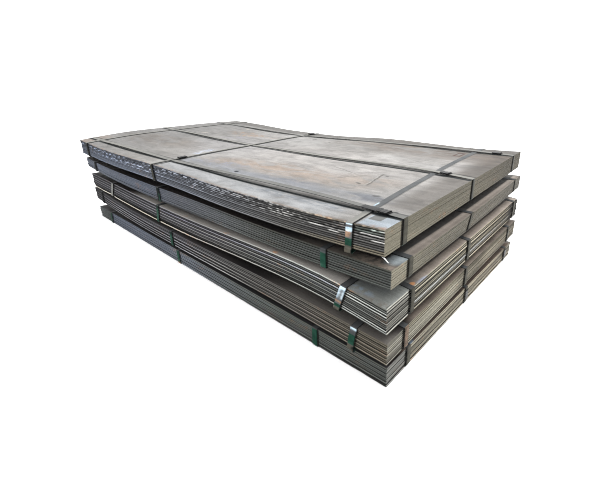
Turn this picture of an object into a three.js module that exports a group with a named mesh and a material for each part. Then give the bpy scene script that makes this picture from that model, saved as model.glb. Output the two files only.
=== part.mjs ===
// Stack of five strapped bundles of hot-rolled steel plate on hidden spacer battens.
// Millimetres, +Z up. +X runs along the plates, +Y across them. The origin is on the
// floor, under the middle of the stack.
import * as THREE from 'three';
import { mergeVertices } from 'three/addons/utils/BufferGeometryUtils.js';

// ---- driving dimensions -------------------------------------------------------------
const PLATE_LENGTH = 3000;
const PLATE_WIDTH = 1500;
const PLATE_THICKNESS = 8;
const GAP_DEPTH = 14;          // how far the air gaps between plates are cut in from the edge
const STRAP_WIDTH = 32;
const STRAP_THICKNESS = 1;
const CLEARANCE = 0.35;        // between pieces that touch
const OVERLAP_LIFT = CLEARANCE + STRAP_THICKNESS + CLEARANCE; // a strap that crosses over another
const SEAL_LENGTH = 46;
const SEAL_WALL = 1.2;
const BATTEN_WIDTH = 90;
const BATTEN_LENGTH = 1240;
const BATTEN_X = [-1150, 1010];

// lines across the stack where the plates change slope, and lines along it
const X_STATIONS = [-1500, -1050, -500, 100, 700, 1150, 1500];
const Y_STATIONS = [-750, -300, 300, 750];
const LONG_X = [-1500, -1000, -400, 100, 600, 1150, 1500];   // where a strap along the plates may bend in plan

// One entry for each bundle, from the floor up.
//  plates, gap   number of plates and the air gap between them
//  dx, dy, yaw   how the bundle lies on the one below (mm, degrees)
//  along         height of its underside at X_STATIONS, on the near long side
//  across        how much higher the underside is at Y_STATIONS
//  loose         how much higher the top plate stands at X_STATIONS, where the gaps are wider
//  cross         straps across the plates: x at the near and far sides, or at Y_STATIONS
//  long          straps along the plates: y at the left and right ends, or at LONG_X
//  lift          how far a long strap is held off the right end by the seal folded round it
const BUNDLES = [
  { id: 'bundle_5', plates: 9, gap: 2.2, dx: 2.3, dy: 8.6, yaw: 0.04,
    along: [2.7, 2.7, 2.7, 2.7, 2.7, 2.7, 2.7], across: [0, 0, 0, 0],
    cross: { d: [-1236, -1248], e: [-94, -90], f: [1128, 1112] },
    long: { a: [-598, -592], b: [-8, -3], c: [614, 627] }, lift: { b: 1.1, c: 1.1 }, seed: 5 },
  { id: 'bundle_4', plates: 10, gap: 1.65, dx: 11.9, dy: -1, yaw: -0.14,
    along: [167.8, 141.6, 126.8, 124.1, 128.4, 126.2, 117.9], across: [0, 11.4, 24.1, 38],
    cross: { d: [-1342, -1332], e: [-136, -122], f: [1338, 1312] },
    long: { a: [-634, -619], b: [-54, -45], c: [598, 612] }, seed: 4 },
  { id: 'bundle_3', plates: 11, gap: 1.77, dx: 3.4, dy: 2.1, yaw: -0.2,
    along: [277.2, 267.3, 256.3, 255.8, 269.6, 272.8, 246.3], across: [0, 13.3, 28, 44.3],
    cross: { d: [-1060, -1046], e: [-277, -264], f: [1283, 1306] },
    long: { a: [-600, -575], b: [-52, -33], c: [644, 676] }, seed: 3 },
  { id: 'bundle_2', plates: 8, gap: 1.36, dx: -0.2, dy: 1.7, yaw: 0.25,
    along: [445.2, 421.1, 406, 402.2, 404, 411.4, 425.7], across: [0, 6, 22.3, 44.5],
    loose: [0, 2, 12, 16, 9.5, 6.5, 1.5],
    cross: { d: [-1308, -1322], e: [-214, -202], f: [1192, 1186] },
    long: { a: [-646, -620], b: [-56, -41], c: [612, 645] }, seed: 2 },
  { id: 'bundle_1', plates: 11, gap: 1.01, dx: -18.5, dy: -12.2, yaw: 0.11,
    along: [567.5, 545.1, 537.4, 533.8, 525.7, 533.2, 550.5], across: [0, 19, 36.5, 53],
    cross: { d: [-1345, -1322, -1315, -1318], e: [-184, -174, -222, -240], f: [1354, 1312, 1269, 1262] },
    long: { a: [-654, -632, -627, -619, -604, -597, -622], b: [-50, -23, -18, -2, 1, 45, -8], c: [522, 536, 562, 590, 602, 639, 612] }, seed: 1 },
];

// Crimped seals that close the straps: strap, position along it (x on a long strap, y on a
// strap across), and which run of the strap it sits on.
const SEALS = [
  { name: 'bundle_1_seal_a', bundle: 'bundle_1', strap: 'a', at: 1405, on: 'top' },
  { name: 'bundle_1_seal_b', bundle: 'bundle_1', strap: 'b', at: 1345, on: 'top' },
  { name: 'bundle_1_seal_c', bundle: 'bundle_1', strap: 'c', at: 1397, on: 'top' },
  { name: 'bundle_1_seal_e', bundle: 'bundle_1', strap: 'e', at: -560, on: 'top' },
  { name: 'bundle_1_seal_e_far', bundle: 'bundle_1', strap: 'e', at: 660, on: 'top' },
  { name: 'bundle_5_seal_b', bundle: 'bundle_5', strap: 'b', at: 52, on: 'end' },
  { name: 'bundle_5_seal_c', bundle: 'bundle_5', strap: 'c', at: 56, on: 'end' },
];

// ---- finishes -----------------------------------------------------------------------
const finishes = {
  plate: [
    { color: 0xaeaaa3, roughness: 0.46, metalness: 0.85 },
    { color: 0x9d9992, roughness: 0.5, metalness: 0.85 },
    { color: 0x989389, roughness: 0.52, metalness: 0.82 },
    { color: 0x8f8b82, roughness: 0.52, metalness: 0.82 },
    { color: 0x7f8384, roughness: 0.48, metalness: 0.85 },
  ],
  strap: { color: 0x3c5149, roughness: 0.36, metalness: 0.7 },
  seal: { color: 0xa7abab, roughness: 0.34, metalness: 0.9 },
  batten: { color: 0x7c6a50, roughness: 0.85, metalness: 0 },
};
const finish = (f) => new THREE.MeshStandardMaterial(f);

// ---- helpers ------------------------------------------------------------------------
const lerpAt = (xs, ys, x) => {          // piecewise straight, carried on past the ends
  let i = 0;
  while (i < xs.length - 2 && x > xs[i + 1]) i += 1;
  return ys[i] + (ys[i + 1] - ys[i]) * (x - xs[i]) / (xs[i + 1] - xs[i]);
};

const noise = (seed) => {                // small repeatable scatter, -1 to 1
  let s = (seed * 7919 + 104729) % 233280;
  return () => { s = (s * 9301 + 49297) % 233280; return (s / 233280) * 2 - 1; };
};

const positionsOnly = (geometry) => {
  const g = geometry.clone();
  g.deleteAttribute('normal');
  g.deleteAttribute('uv');
  return mergeVertices(g, 1e-4);
};

const shaded = (geometry) => {
  const g = geometry.toNonIndexed();
  g.computeVertexNormals();
  return g;
};

const mesh = (name, geometry, f) => {
  const m = new THREE.Mesh(shaded(geometry), finish(f));
  m.name = name;
  return m;
};

// the taut line over a row of support points
const taut = (points, side = 1) => {
  const out = [];
  for (const p of points) {
    while (out.length >= 2) {
      const [a, b] = [out[out.length - 2], out[out.length - 1]];
      const cross = (b[0] - a[0]) * (p[1] - a[1]) - (b[1] - a[1]) * (p[0] - a[0]);
      if (side * cross >= -1e-9) out.pop(); else break;
    }
    out.push(p);
  }
  return out;
};

// ---- the pile of plates in one bundle -----------------------------------------------
const scatterOf = (b) => {
  const r = noise(b.seed);
  return Array.from({ length: b.plates }, () => ({ left: r() * 3, right: r() * 2, near: r() * 2.4, far: r() * 2.4 }));
};

const heightOf = (b) => b.plates * PLATE_THICKNESS + (b.plates - 1) * b.gap;

const looseAt = (b, x) => (b.loose ? lerpAt(X_STATIONS, b.loose, x) : 0);

const platePile = (b) => {
  const scatter = scatterOf(b);
  const levels = [];
  for (let k = 0; k < b.plates; k += 1) {
    const z = k * (PLATE_THICKNESS + b.gap);
    levels.push({ z, plate: k, k }, { z: z + PLATE_THICKNESS, plate: k, k });
    if (k < b.plates - 1) levels.push({ z: z + PLATE_THICKNESS, k }, { z: z + PLATE_THICKNESS + b.gap, k: k + 1 });
  }
  const nx = X_STATIONS.length - 1;
  const ny = Y_STATIONS.length - 1;
  const nz = levels.length - 1;
  const g = positionsOnly(new THREE.BoxGeometry(nx, ny, nz, nx, ny, nz));
  const p = g.attributes.position;
  for (let v = 0; v < p.count; v += 1) {
    const i = Math.round(p.getX(v) + nx / 2);
    const j = Math.round(p.getY(v) + ny / 2);
    const level = levels[Math.round(p.getZ(v) + nz / 2)];
    const s = level.plate === undefined ? null : scatter[level.plate];
    let x = X_STATIONS[i];
    let y = Y_STATIONS[j];
    if (i === 0) x = s ? x + s.left : x + GAP_DEPTH;
    if (i === nx) x = s ? x + s.right : x - GAP_DEPTH;
    if (j === 0) y = s ? y + s.near : y + GAP_DEPTH;
    if (j === ny) y = s ? y + s.far : y - GAP_DEPTH;
    p.setXYZ(v, x, y, lerpAt(X_STATIONS, b.along, x) + lerpAt(Y_STATIONS, b.across, y) + level.z + looseAt(b, x) * level.k / (b.plates - 1));
  }
  return g;
};

// ---- straps ---------------------------------------------------------------------------
// A closed flat band: each row of the path gives its four corners, inner then outer.
const band = (rows) => {
  const n = rows.length;
  const g = new THREE.TorusGeometry(10, 1, 4, n);
  g.deleteAttribute('normal');
  g.deleteAttribute('uv');
  const p = g.attributes.position;
  for (let ring = 0; ring <= 4; ring += 1) {
    for (let k = 0; k <= n; k += 1) {
      const c = rows[k % n][ring % 4];
      p.setXYZ(ring * (n + 1) + k, c[0], c[1], c[2]);
    }
  }
  const m = mergeVertices(g, 1e-4);
  let volume = 0;
  const a = new THREE.Vector3(); const b = new THREE.Vector3(); const c = new THREE.Vector3();
  const q = m.attributes.position;
  for (let t = 0; t < m.index.count; t += 3) {
    a.fromBufferAttribute(q, m.index.getX(t));
    b.fromBufferAttribute(q, m.index.getX(t + 1));
    c.fromBufferAttribute(q, m.index.getX(t + 2));
    volume += a.dot(b.cross(c));
  }
  if (volume < 0) {                      // turn the faces outwards
    const idx = m.index;
    for (let t = 0; t < idx.count; t += 3) {
      const s = idx.getX(t + 1); idx.setX(t + 1, idx.getX(t + 2)); idx.setX(t + 2, s);
    }
  }
  return m;
};

const reach = (b) => {                   // how far the plates stand out on each side
  const s = scatterOf(b);
  return {
    left: PLATE_LENGTH / 2 + Math.max(...s.map((e) => -e.left)) + CLEARANCE,
    right: PLATE_LENGTH / 2 + Math.max(...s.map((e) => e.right)) + CLEARANCE,
    near: PLATE_WIDTH / 2 + Math.max(...s.map((e) => -e.near)) + CLEARANCE,
    far: PLATE_WIDTH / 2 + Math.max(...s.map((e) => e.far)) + CLEARANCE,
  };
};

const crossX = (b, key, y) => lerpAt(b.cross[key].length === 2 ? [-750, 750] : Y_STATIONS, b.cross[key], y);
const longY = (b, key, x) => lerpAt(b.long[key].length === 2 ? [-1500, 1500] : LONG_X, b.long[key], x);

// a strap across the plates; strap f lies on the plates, d and e lie over the long straps
const crossBand = (b, key) => {
  const r = reach(b);
  const h = STRAP_WIDTH / 2;
  const top = (key === 'f' ? CLEARANCE : OVERLAP_LIFT) + heightOf(b);
  const bottom = -OVERLAP_LIFT;
  const z = (x, y, o) => lerpAt(X_STATIONS, b.along, x) + lerpAt(Y_STATIONS, b.across, y) + o + (o > 0 ? looseAt(b, x) : 0);
  const t = STRAP_THICKNESS;
  const rows = [];
  const row = (yi, yo, zi, zo) => {
    const xi = crossX(b, key, yi); const xo = crossX(b, key, yo);
    rows.push([[xi - h, yi, z(xi - h, yi, zi)], [xi + h, yi, z(xi + h, yi, zi)],
      [xo + h, yo, z(xo + h, yo, zo)], [xo - h, yo, z(xo - h, yo, zo)]]);
  };
  row(-r.near, -r.near - t, bottom, bottom - t);
  for (const y of [-300, 300]) row(y, y, bottom, bottom - t);
  row(r.far, r.far + t, bottom, bottom - t);
  row(r.far, r.far + t, top, top + t);
  for (const y of [300, -300]) row(y, y, top, top + t);
  row(-r.near, -r.near - t, top, top + t);
  return band(rows);
};

// Heights of the long straps above and below a bundle, without the slope across it. Above,
// they are drawn taut over the dips; below, the straps across hold them up to the plates.
const endLift = (b, key) => (b.lift && b.lift[key] ? b.lift[key] : 0);

const longTop = (b) => {
  const s = (x) => lerpAt(X_STATIONS, b.along, x) + heightOf(b) + looseAt(b, x);
  const r = reach(b);
  const e = (Math.min(...b.cross.e) + Math.max(...b.cross.e)) / 2;
  const d = (b.cross.d[0] + b.cross.d[1]) / 2;
  const over = [Math.min(...b.cross.f) - 20, Math.max(...b.cross.f) + 20];
  const wide = 20 + (Math.max(...b.cross.e) - Math.min(...b.cross.e)) / 2;
  const wideD = 20 + Math.abs(b.cross.d[0] - b.cross.d[1]) / 2;
  const held = [[-r.left, s(-r.left) + CLEARANCE], [d - wideD, s(d - wideD) + CLEARANCE], [d + wideD, s(d + wideD) + CLEARANCE]];
  const mid = X_STATIONS.filter((x) => x > d + wideD && x < e - wide).map((x) => [x, s(x) + CLEARANCE]);
  const left = taut([[d + wideD, s(d + wideD) + CLEARANCE], ...mid, [e - wide, s(e - wide) + CLEARANCE]], 1);
  const rightStations = [...X_STATIONS.filter((x) => x > e + wide && x < r.right).map((x) => [x, s(x) + CLEARANCE]),
    [over[0], s(over[0]) + OVERLAP_LIFT], [over[1], s(over[1]) + OVERLAP_LIFT]].sort((p, q) => p[0] - q[0]);
  const right = taut([[e + wide, s(e + wide) + CLEARANCE], ...rightStations, [r.right, s(r.right) + CLEARANCE]], 1);
  const line = [held[0], held[1], ...left, ...right];
  const z = (x) => lerpAt(line.map((p) => p[0]), line.map((p) => p[1]), x);
  const bends = LONG_X.slice(1, -1).filter((x) => line.every((p) => Math.abs(p[0] - x) > 5)).map((x) => [x, z(x)]);
  return [...line, ...bends].sort((p, q) => p[0] - q[0]);
};

const longBottom = (b) => {
  const s = (x) => lerpAt(X_STATIONS, b.along, x) - CLEARANCE;
  const r = reach(b);
  return [[-r.left, s(-r.left)], ...X_STATIONS.slice(1, -1).map((x) => [x, s(x)]), [r.right, s(r.right)]];
};

const longBand = (b, key) => {
  const h = STRAP_WIDTH / 2;
  const t = STRAP_THICKNESS;
  const slope = (y) => lerpAt(Y_STATIONS, b.across, y);
  const rows = [];
  const off = endLift(b, key);
  const row = (x0, x1, zi, zo) => {
    const xi = x0 > 1400 ? x0 + off : x0; const xo = x0 > 1400 ? x1 + off : x1;
    const yi = longY(b, key, xi); const yo = longY(b, key, xo);
    rows.push([[xi, yi + h, zi + slope(yi + h)], [xi, yi - h, zi + slope(yi - h)],
      [xo, yo - h, zo + slope(yo - h)], [xo, yo + h, zo + slope(yo + h)]]);
  };
  const bottom = longBottom(b);
  const top = longTop(b);
  bottom.forEach(([x, z], k) => {
    const out = k === 0 ? -t : k === bottom.length - 1 ? t : 0;
    row(x, x + out, z, z - t);
  });
  [...top].reverse().forEach(([x, z], k) => {
    const out = k === 0 ? t : k === top.length - 1 ? -t : 0;
    row(x, x + out, z, z + t);
  });
  return band(rows);
};

// ---- seals ----------------------------------------------------------------------------
// A short sheet-metal sleeve folded round the strap, open in the middle of its underside.
const sealSleeve = () => {
  const w = STRAP_WIDTH / 2 + CLEARANCE;          // half width of the slot
  const lo = -CLEARANCE; const hi = STRAP_THICKNESS + CLEARANCE;
  const s = SEAL_WALL;
  const under = 0.9;
  const shape = new THREE.Shape();
  shape.moveTo(-w - s, lo - under);
  shape.lineTo(-7, lo - under);
  shape.lineTo(-7, lo);
  shape.lineTo(-w, lo);
  shape.lineTo(-w, hi);
  shape.lineTo(w, hi);
  shape.lineTo(w, lo);
  shape.lineTo(7, lo);
  shape.lineTo(7, lo - under);
  shape.lineTo(w + s, lo - under);
  shape.lineTo(w + s, hi + s);
  shape.lineTo(-w - s, hi + s);
  shape.closePath();
  const g = new THREE.ExtrudeGeometry(shape, { depth: SEAL_LENGTH, bevelEnabled: false, steps: 1 });
  g.translate(0, 0, -SEAL_LENGTH / 2);
  return positionsOnly(g);                         // section in XY, length along Z
};

// ---- assembly -------------------------------------------------------------------------
const stack = new THREE.Group();
const holders = {};
for (const [n, b] of BUNDLES.entries()) {
  const holder = new THREE.Group();
  holder.position.set(b.dx, b.dy, 0);
  holder.rotation.z = THREE.MathUtils.degToRad(b.yaw);
  holders[b.id] = holder;
  holder.add(mesh(`${b.id}_plates`, platePile(b), finishes.plate[BUNDLES.length - 1 - n]));
  for (const key of ['a', 'b', 'c']) holder.add(mesh(`${b.id}_long_strap_${key}`, longBand(b, key), finishes.strap));
  for (const key of ['d', 'e', 'f']) holder.add(mesh(`${b.id}_cross_strap_${key}`, crossBand(b, key), finishes.strap));
  stack.add(holder);
}

for (const s of SEALS) {
  const b = BUNDLES.find((e) => e.id === s.bundle);
  const m = mesh(s.name, sealSleeve(), finishes.seal);
  const along = new THREE.Vector3();
  const out = new THREE.Vector3();
  const at = new THREE.Vector3();
  if (s.on === 'top' && 'abc'.includes(s.strap)) {
    const line = longTop(b);
    const z = (x) => lerpAt(line.map((e) => e[0]), line.map((e) => e[1]), x);
    const y = (x) => longY(b, s.strap, x);
    const p = (x) => new THREE.Vector3(x, y(x), z(x) + lerpAt(Y_STATIONS, b.across, y(x)));
    at.copy(p(s.at));
    along.copy(p(s.at + 22)).sub(p(s.at - 22)).normalize();
    const side = new THREE.Vector3(0, 10, lerpAt(Y_STATIONS, b.across, y(s.at) + 10) - lerpAt(Y_STATIONS, b.across, y(s.at)));
    out.crossVectors(along, side).normalize();
  } else if (s.on === 'top') {
    const z = (x, y) => lerpAt(X_STATIONS, b.along, x) + lerpAt(Y_STATIONS, b.across, y) + heightOf(b) + OVERLAP_LIFT;
    const p = (y) => new THREE.Vector3(crossX(b, s.strap, y), y, z(crossX(b, s.strap, y), y));
    at.copy(p(s.at));
    along.copy(p(s.at + 22)).sub(p(s.at - 22)).normalize();
    const side = new THREE.Vector3(10, 0, z(at.x + 10, s.at) - z(at.x, s.at));
    out.crossVectors(side, along).normalize();
  } else {
    const r = reach(b);
    at.set(r.right + endLift(b, s.strap), longY(b, s.strap, r.right), s.at);
    along.set(0, 0, 1);
    out.set(1, 0, 0);
  }
  const across = new THREE.Vector3().crossVectors(out, along);
  m.quaternion.setFromRotationMatrix(new THREE.Matrix4().makeBasis(across, out, along));
  m.position.copy(at);
  holders[b.id].add(m);
}

// spacer battens across the width, between each bundle and the next
for (let n = 0; n < BUNDLES.length - 1; n += 1) {
  const [low, high] = [BUNDLES[n], BUNDLES[n + 1]];
  BATTEN_X.forEach((cx, k) => {
    const xs = [cx - BATTEN_WIDTH / 2 - 20, cx, cx + BATTEN_WIDTH / 2 + 20];
    const onTop = longTop(low);
    const under = longBottom(high);
    const floor = Math.max(...xs.map((x) => lerpAt(onTop.map((e) => e[0]), onTop.map((e) => e[1]), x))) + STRAP_THICKNESS + 1;
    const ceiling = Math.min(...xs.map((x) => lerpAt(under.map((e) => e[0]), under.map((e) => e[1]), x))) - STRAP_THICKNESS - 1;
    const g = positionsOnly(new THREE.BoxGeometry(BATTEN_WIDTH, BATTEN_LENGTH, 1, 1, 3, 1));
    const p = g.attributes.position;
    for (let v = 0; v < p.count; v += 1) {
      const y = [-BATTEN_LENGTH / 2, -300, 300, BATTEN_LENGTH / 2][Math.round((p.getY(v) / BATTEN_LENGTH + 0.5) * 3)];
      const z = p.getZ(v) < 0 ? floor + lerpAt(Y_STATIONS, low.across, y) : ceiling + lerpAt(Y_STATIONS, high.across, y);
      p.setXYZ(v, p.getX(v) + cx, y, z);
    }
    stack.add(mesh(`batten_${low.id.slice(-1)}_${k === 0 ? 'left' : 'right'}`, g, finishes.batten));
  });
}

// bring the middle of the underside of the whole stack to the origin
const box = new THREE.Box3().setFromObject(stack);
stack.position.set(-(box.min.x + box.max.x) / 2, -(box.min.y + box.max.y) / 2, -box.min.z);
const part = new THREE.Group();
part.add(stack);
part.updateMatrixWorld(true);

export default part;
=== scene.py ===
import bpy
import math
import numpy as np
from mathutils import Matrix, Vector


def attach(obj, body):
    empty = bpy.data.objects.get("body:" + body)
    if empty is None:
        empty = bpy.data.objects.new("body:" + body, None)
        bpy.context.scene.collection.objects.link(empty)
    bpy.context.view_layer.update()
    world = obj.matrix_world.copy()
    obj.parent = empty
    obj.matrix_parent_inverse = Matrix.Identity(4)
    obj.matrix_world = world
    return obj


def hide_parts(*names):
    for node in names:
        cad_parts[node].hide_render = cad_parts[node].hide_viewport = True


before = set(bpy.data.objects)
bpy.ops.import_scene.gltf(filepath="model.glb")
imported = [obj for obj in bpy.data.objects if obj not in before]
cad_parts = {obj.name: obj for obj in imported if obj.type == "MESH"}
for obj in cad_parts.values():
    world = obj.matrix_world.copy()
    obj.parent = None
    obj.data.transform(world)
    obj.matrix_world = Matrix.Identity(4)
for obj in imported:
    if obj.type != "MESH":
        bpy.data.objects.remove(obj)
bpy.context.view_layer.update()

# ---------------------------------------------------------------------------------------
# Lengths in this file are millimetres until a mesh is written, as in the CAD.
# ---------------------------------------------------------------------------------------
MM = 0.001
SHIFT = np.array([2.7453, 2.6624, 0.0])       # the CAD moves the stack by this to centre it
THICK = 8.0
STRAP_W, STRAP_T = 32.0, 1.0
CLEAR = 0.35
LIFT = 1.7

BUNDLES = {
    1: dict(n=11, gap=1.01, dx=-18.5, dy=-12.2, yaw=0.11,
            near=[567.0, 543.8, 536.9, 537.7, 534.9, 525.5, 526.1, 533.6, 550.1],
            right=[550.1, 562.7, 574.0, 587.5, 603.5],
            far=[617.0, 606.0, 585.5, 576.9, 579.5, 597.0, 595.5, 593.5, 603.5],
            left=[567.0, 602.0, 612.0, 619.0, 616.9],
            cross=dict(d=[-1345, -1322, -1315, -1318], e=[-184, -174, -222, -240], f=[1354, 1312, 1269, 1262]),
            long=dict(a=[-654, -632, -627, -619, -604, -597, -622], b=[-50, -23, -18, -2, 1, 45, -8], c=[522, 536, 562, 590, 602, 639, 612])),
    2: dict(n=8, gap=1.36, dx=-0.2, dy=1.7, yaw=0.25,
            near=[447.7, 423.0, 407.4, 402.2, 402.8, 404.0, 405.4, 412.7, 425.0],
            right=[425.0, 429.2, 439.3, 454.1, 473.1],
            far=[465.7, 445.0, 433.4, 432.2, 436.8, 442.1, 447.5, 457.8, 473.1],
            left=[447.7, 452.2, 456.7, 461.2, 465.7],
            loose=[0.0, 1.5, 9.5, 13.5, 16.0, 12.0, 8.8, 6.0, 1.5],
            cross=dict(d=[-1308, -1322], e=[-214, -202], f=[1192, 1186]),
            long=dict(a=[-646, -620], b=[-56, -41], c=[612, 645])),
    3: dict(n=11, gap=1.77, dx=3.4, dy=2.1, yaw=-0.2,
            near=[279.1, 271.2, 260.9, 254.4, 254.6, 263.6, 275.1, 271.9, 245.5],
            right=[245.5, 257.7, 269.9, 282.1, 294.4],
            far=[297.1, 293.3, 287.1, 284.8, 289.0, 302.2, 317.9, 317.7, 294.4],
            left=[279.1, 283.6, 288.1, 292.6, 297.1],
            cross=dict(d=[-1060, -1046], e=[-277, -264], f=[1283, 1306]),
            long=dict(a=[-600, -575], b=[-52, -33], c=[644, 676])),
    4: dict(n=10, gap=1.65, dx=11.9, dy=-1.0, yaw=-0.14,
            near=[170.1, 143.0, 127.5, 122.8, 122.9, 127.1, 129.2, 124.0, 116.5],
            right=[116.5, 126.9, 137.4, 148.0, 158.7],
            far=[188.1, 164.2, 151.9, 150.4, 153.8, 161.2, 166.5, 163.7, 158.7],
            left=[170.1, 174.6, 179.1, 183.6, 188.1],
            cross=dict(d=[-1342, -1332], e=[-136, -122], f=[1338, 1312]),
            long=dict(a=[-634, -619], b=[-54, -45], c=[598, 612])),
    5: dict(n=9, gap=2.2, dx=2.3, dy=8.6, yaw=0.04,
            near=[2.7] * 9, right=[2.7] * 5, far=[2.7] * 9, left=[2.7] * 5,
            cross=dict(d=[-1236, -1248], e=[-94, -90], f=[1128, 1112]),
            long=dict(a=[-598, -592], b=[-8, -3], c=[614, 627])),
}
XS = np.array([-1500, -1100, -700, -300, 100, 500, 900, 1200, 1500.0])
YS = np.array([-750, -375, 0, 375, 750.0])
CROSS_Y = np.array([-750, -300, 300, 750.0])
LONG_X = np.array([-1500, -1000, -400, 100, 600, 1150, 1500.0])


# ---- small maths -----------------------------------------------------------------------
def _spline_matrix(xs):
    """Second derivatives of the natural cubic spline through unit values."""
    n = len(xs)
    h = np.diff(xs)
    a = np.zeros((n, n)); r = np.zeros((n, n))
    a[0, 0] = a[-1, -1] = 1
    for i in range(1, n - 1):
        a[i, i - 1], a[i, i], a[i, i + 1] = h[i - 1], 2 * (h[i - 1] + h[i]), h[i]
        r[i, i - 1] = 6 / h[i - 1]
        r[i, i + 1] = 6 / h[i]
        r[i, i] = -6 / h[i - 1] - 6 / h[i]
    return np.linalg.solve(a, r)


_M = {}


def weights(xs, x):
    """Cardinal weights of the spline over xs at each x, clamped to its ends."""
    key = tuple(xs)
    if key not in _M:
        _M[key] = _spline_matrix(np.asarray(xs, float))
    m = _M[key]
    xs = np.asarray(xs, float)
    x = np.clip(np.asarray(x, float).ravel(), xs[0], xs[-1])
    i = np.clip(np.searchsorted(xs, x, side="right") - 1, 0, len(xs) - 2)
    h = xs[i + 1] - xs[i]
    t = (x - xs[i]) / h
    w = np.zeros((len(x), len(xs)))
    r = np.arange(len(x))
    w[r, i] += 1 - t
    w[r, i + 1] += t
    c0 = ((1 - t) ** 3 - (1 - t)) * h * h / 6
    c1 = (t ** 3 - t) * h * h / 6
    return w + c0[:, None] * m[i] + c1[:, None] * m[i + 1]


def curve(xs, ys, x):
    x = np.asarray(x, float)
    return (weights(xs, x) @ np.asarray(ys, float)).reshape(x.shape)


def smooth(t):
    t = np.clip(t, 0, 1)
    return t * t * (3 - 2 * t)


def hash1(i, seed):
    i = np.asarray(i, np.int64)
    v = (i * 374761393 + seed * 668265263) & 0xFFFFFFFF
    v = ((v ^ (v >> 13)) * 1274126177) & 0xFFFFFFFF
    v = (v ^ (v >> 16)) & 0xFFFFFFFF
    return v / 4294967295.0 * 2 - 1


def noise1(x, scale, seed, octaves=1, gain=0.5):
    """Smooth repeatable noise along a line, about -1 to 1; scale is its wavelength."""
    x = np.asarray(x, float) / scale
    out = np.zeros_like(x); amp = 1.0; tot = 0.0
    for o in range(octaves):
        i = np.floor(x)
        f = smooth(x - i)
        out += amp * (hash1(i, seed + 17 * o) * (1 - f) + hash1(i + 1, seed + 17 * o) * f)
        tot += amp; amp *= gain; x = x * 2.03 + 5.3
    return out / tot


def noise2(x, y, scale, seed, octaves=1, gain=0.5):
    x = np.asarray(x, float) / scale; y = np.asarray(y, float) / scale
    out = np.zeros_like(x + y); amp = 1.0; tot = 0.0
    for o in range(octaves):
        i, j = np.floor(x), np.floor(y)
        fx, fy = smooth(x - i), smooth(y - j)
        def h(a, b):
            return hash1(a.astype(np.int64) * 7919 + b.astype(np.int64) * 104729, seed + 31 * o)
        out += amp * ((h(i, j) * (1 - fx) + h(i + 1, j) * fx) * (1 - fy)
                      + (h(i, j + 1) * (1 - fx) + h(i + 1, j + 1) * fx) * fy)
        tot += amp; amp *= gain; x = x * 2.03 + 5.3; y = y * 2.03 + 9.1
    return out / tot


# ---- the bundles' surfaces -----------------------------------------------------------
for _b in BUNDLES.values():
    near, far = np.array(_b["near"]), np.array(_b["far"])
    left, right = np.array(_b["left"]), np.array(_b["right"])
    u = (XS + 1500) / 3000; v = (YS + 750) / 1500
    t = np.zeros((9, 5))
    for i in range(9):
        for j in range(5):
            z = (1 - v[j]) * near[i] + v[j] * far[i] + (1 - u[i]) * left[j] + u[i] * right[j]
            z -= ((1 - u[i]) * (1 - v[j]) * near[0] + u[i] * (1 - v[j]) * near[-1]
                  + (1 - u[i]) * v[j] * far[0] + u[i] * v[j] * far[-1])
            t[i, j] = z
    _b["tab"] = t
    _b["height"] = _b["n"] * THICK + (_b["n"] - 1) * _b["gap"]


def under(b, x, y):
    """Height of the bundle's underside at local x, y."""
    x = np.asarray(x, float); y = np.asarray(y, float)
    x, y = np.broadcast_arrays(x, y)
    wx = weights(XS, x); wy = weights(YS, y)
    return np.einsum("ni,ij,nj->n", wx, b["tab"], wy).reshape(x.shape)


LOOSE_X = np.linspace(-1500, 1500, 301)


def loose(b, x, y):
    """How much higher a bundle's top plate stands where the gaps between its plates are wider."""
    x = np.asarray(x, float); y = np.asarray(y, float)
    x, y = np.broadcast_arrays(x, y)
    if "loose" not in b:
        return np.zeros(x.shape)
    return np.interp(x, LOOSE_X, curve(XS, b["loose"], LOOSE_X)) + 13.0 * smooth((-1300 - x) / 150) * smooth((y + 748) / 60)


def sag(b, x, y):
    """How far a bundle's lowest plate hangs down along its near edge."""
    x = np.asarray(x, float); y = np.asarray(y, float)
    x, y = np.broadcast_arrays(x, y)
    if b is BUNDLES[1]:
        return 9.0 * smooth((-1260 - x) / 160) * np.exp(-((y + 750) / 250) ** 2)
    if b is BUNDLES[3]:
        return np.interp(x, [-1500, -1250, -1120, -1075, -1030, -900, -500, 0, 350, 600], [8, 9.5, 5, 3, 11.5, 12, 11.5, 10, 3, 0]) * np.exp(-((y + 750) / 130) ** 2)
    return np.zeros(x.shape)


def place(b, p):
    """Local millimetres to the frame, in metres."""
    a = math.radians(b["yaw"])
    c, s = math.cos(a), math.sin(a)
    p = np.asarray(p, float)
    out = np.stack([b["dx"] + c * p[..., 0] - s * p[..., 1], b["dy"] + s * p[..., 0] + c * p[..., 1], p[..., 2]], -1)
    return (out + SHIFT) * MM


def cross_x(b, key, y):
    v = b["cross"][key]
    if len(v) == 2:
        v = np.interp(CROSS_Y, [-750, 750], v)
    y = np.asarray(y, float)
    return curve(CROSS_Y, v, y)


def long_y(b, key, x):
    v = b["long"][key]
    if len(v) == 2:
        v = np.interp(LONG_X, [-1500, 1500], v)
    x = np.asarray(x, float)
    return curve(LONG_X, v, x)


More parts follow.
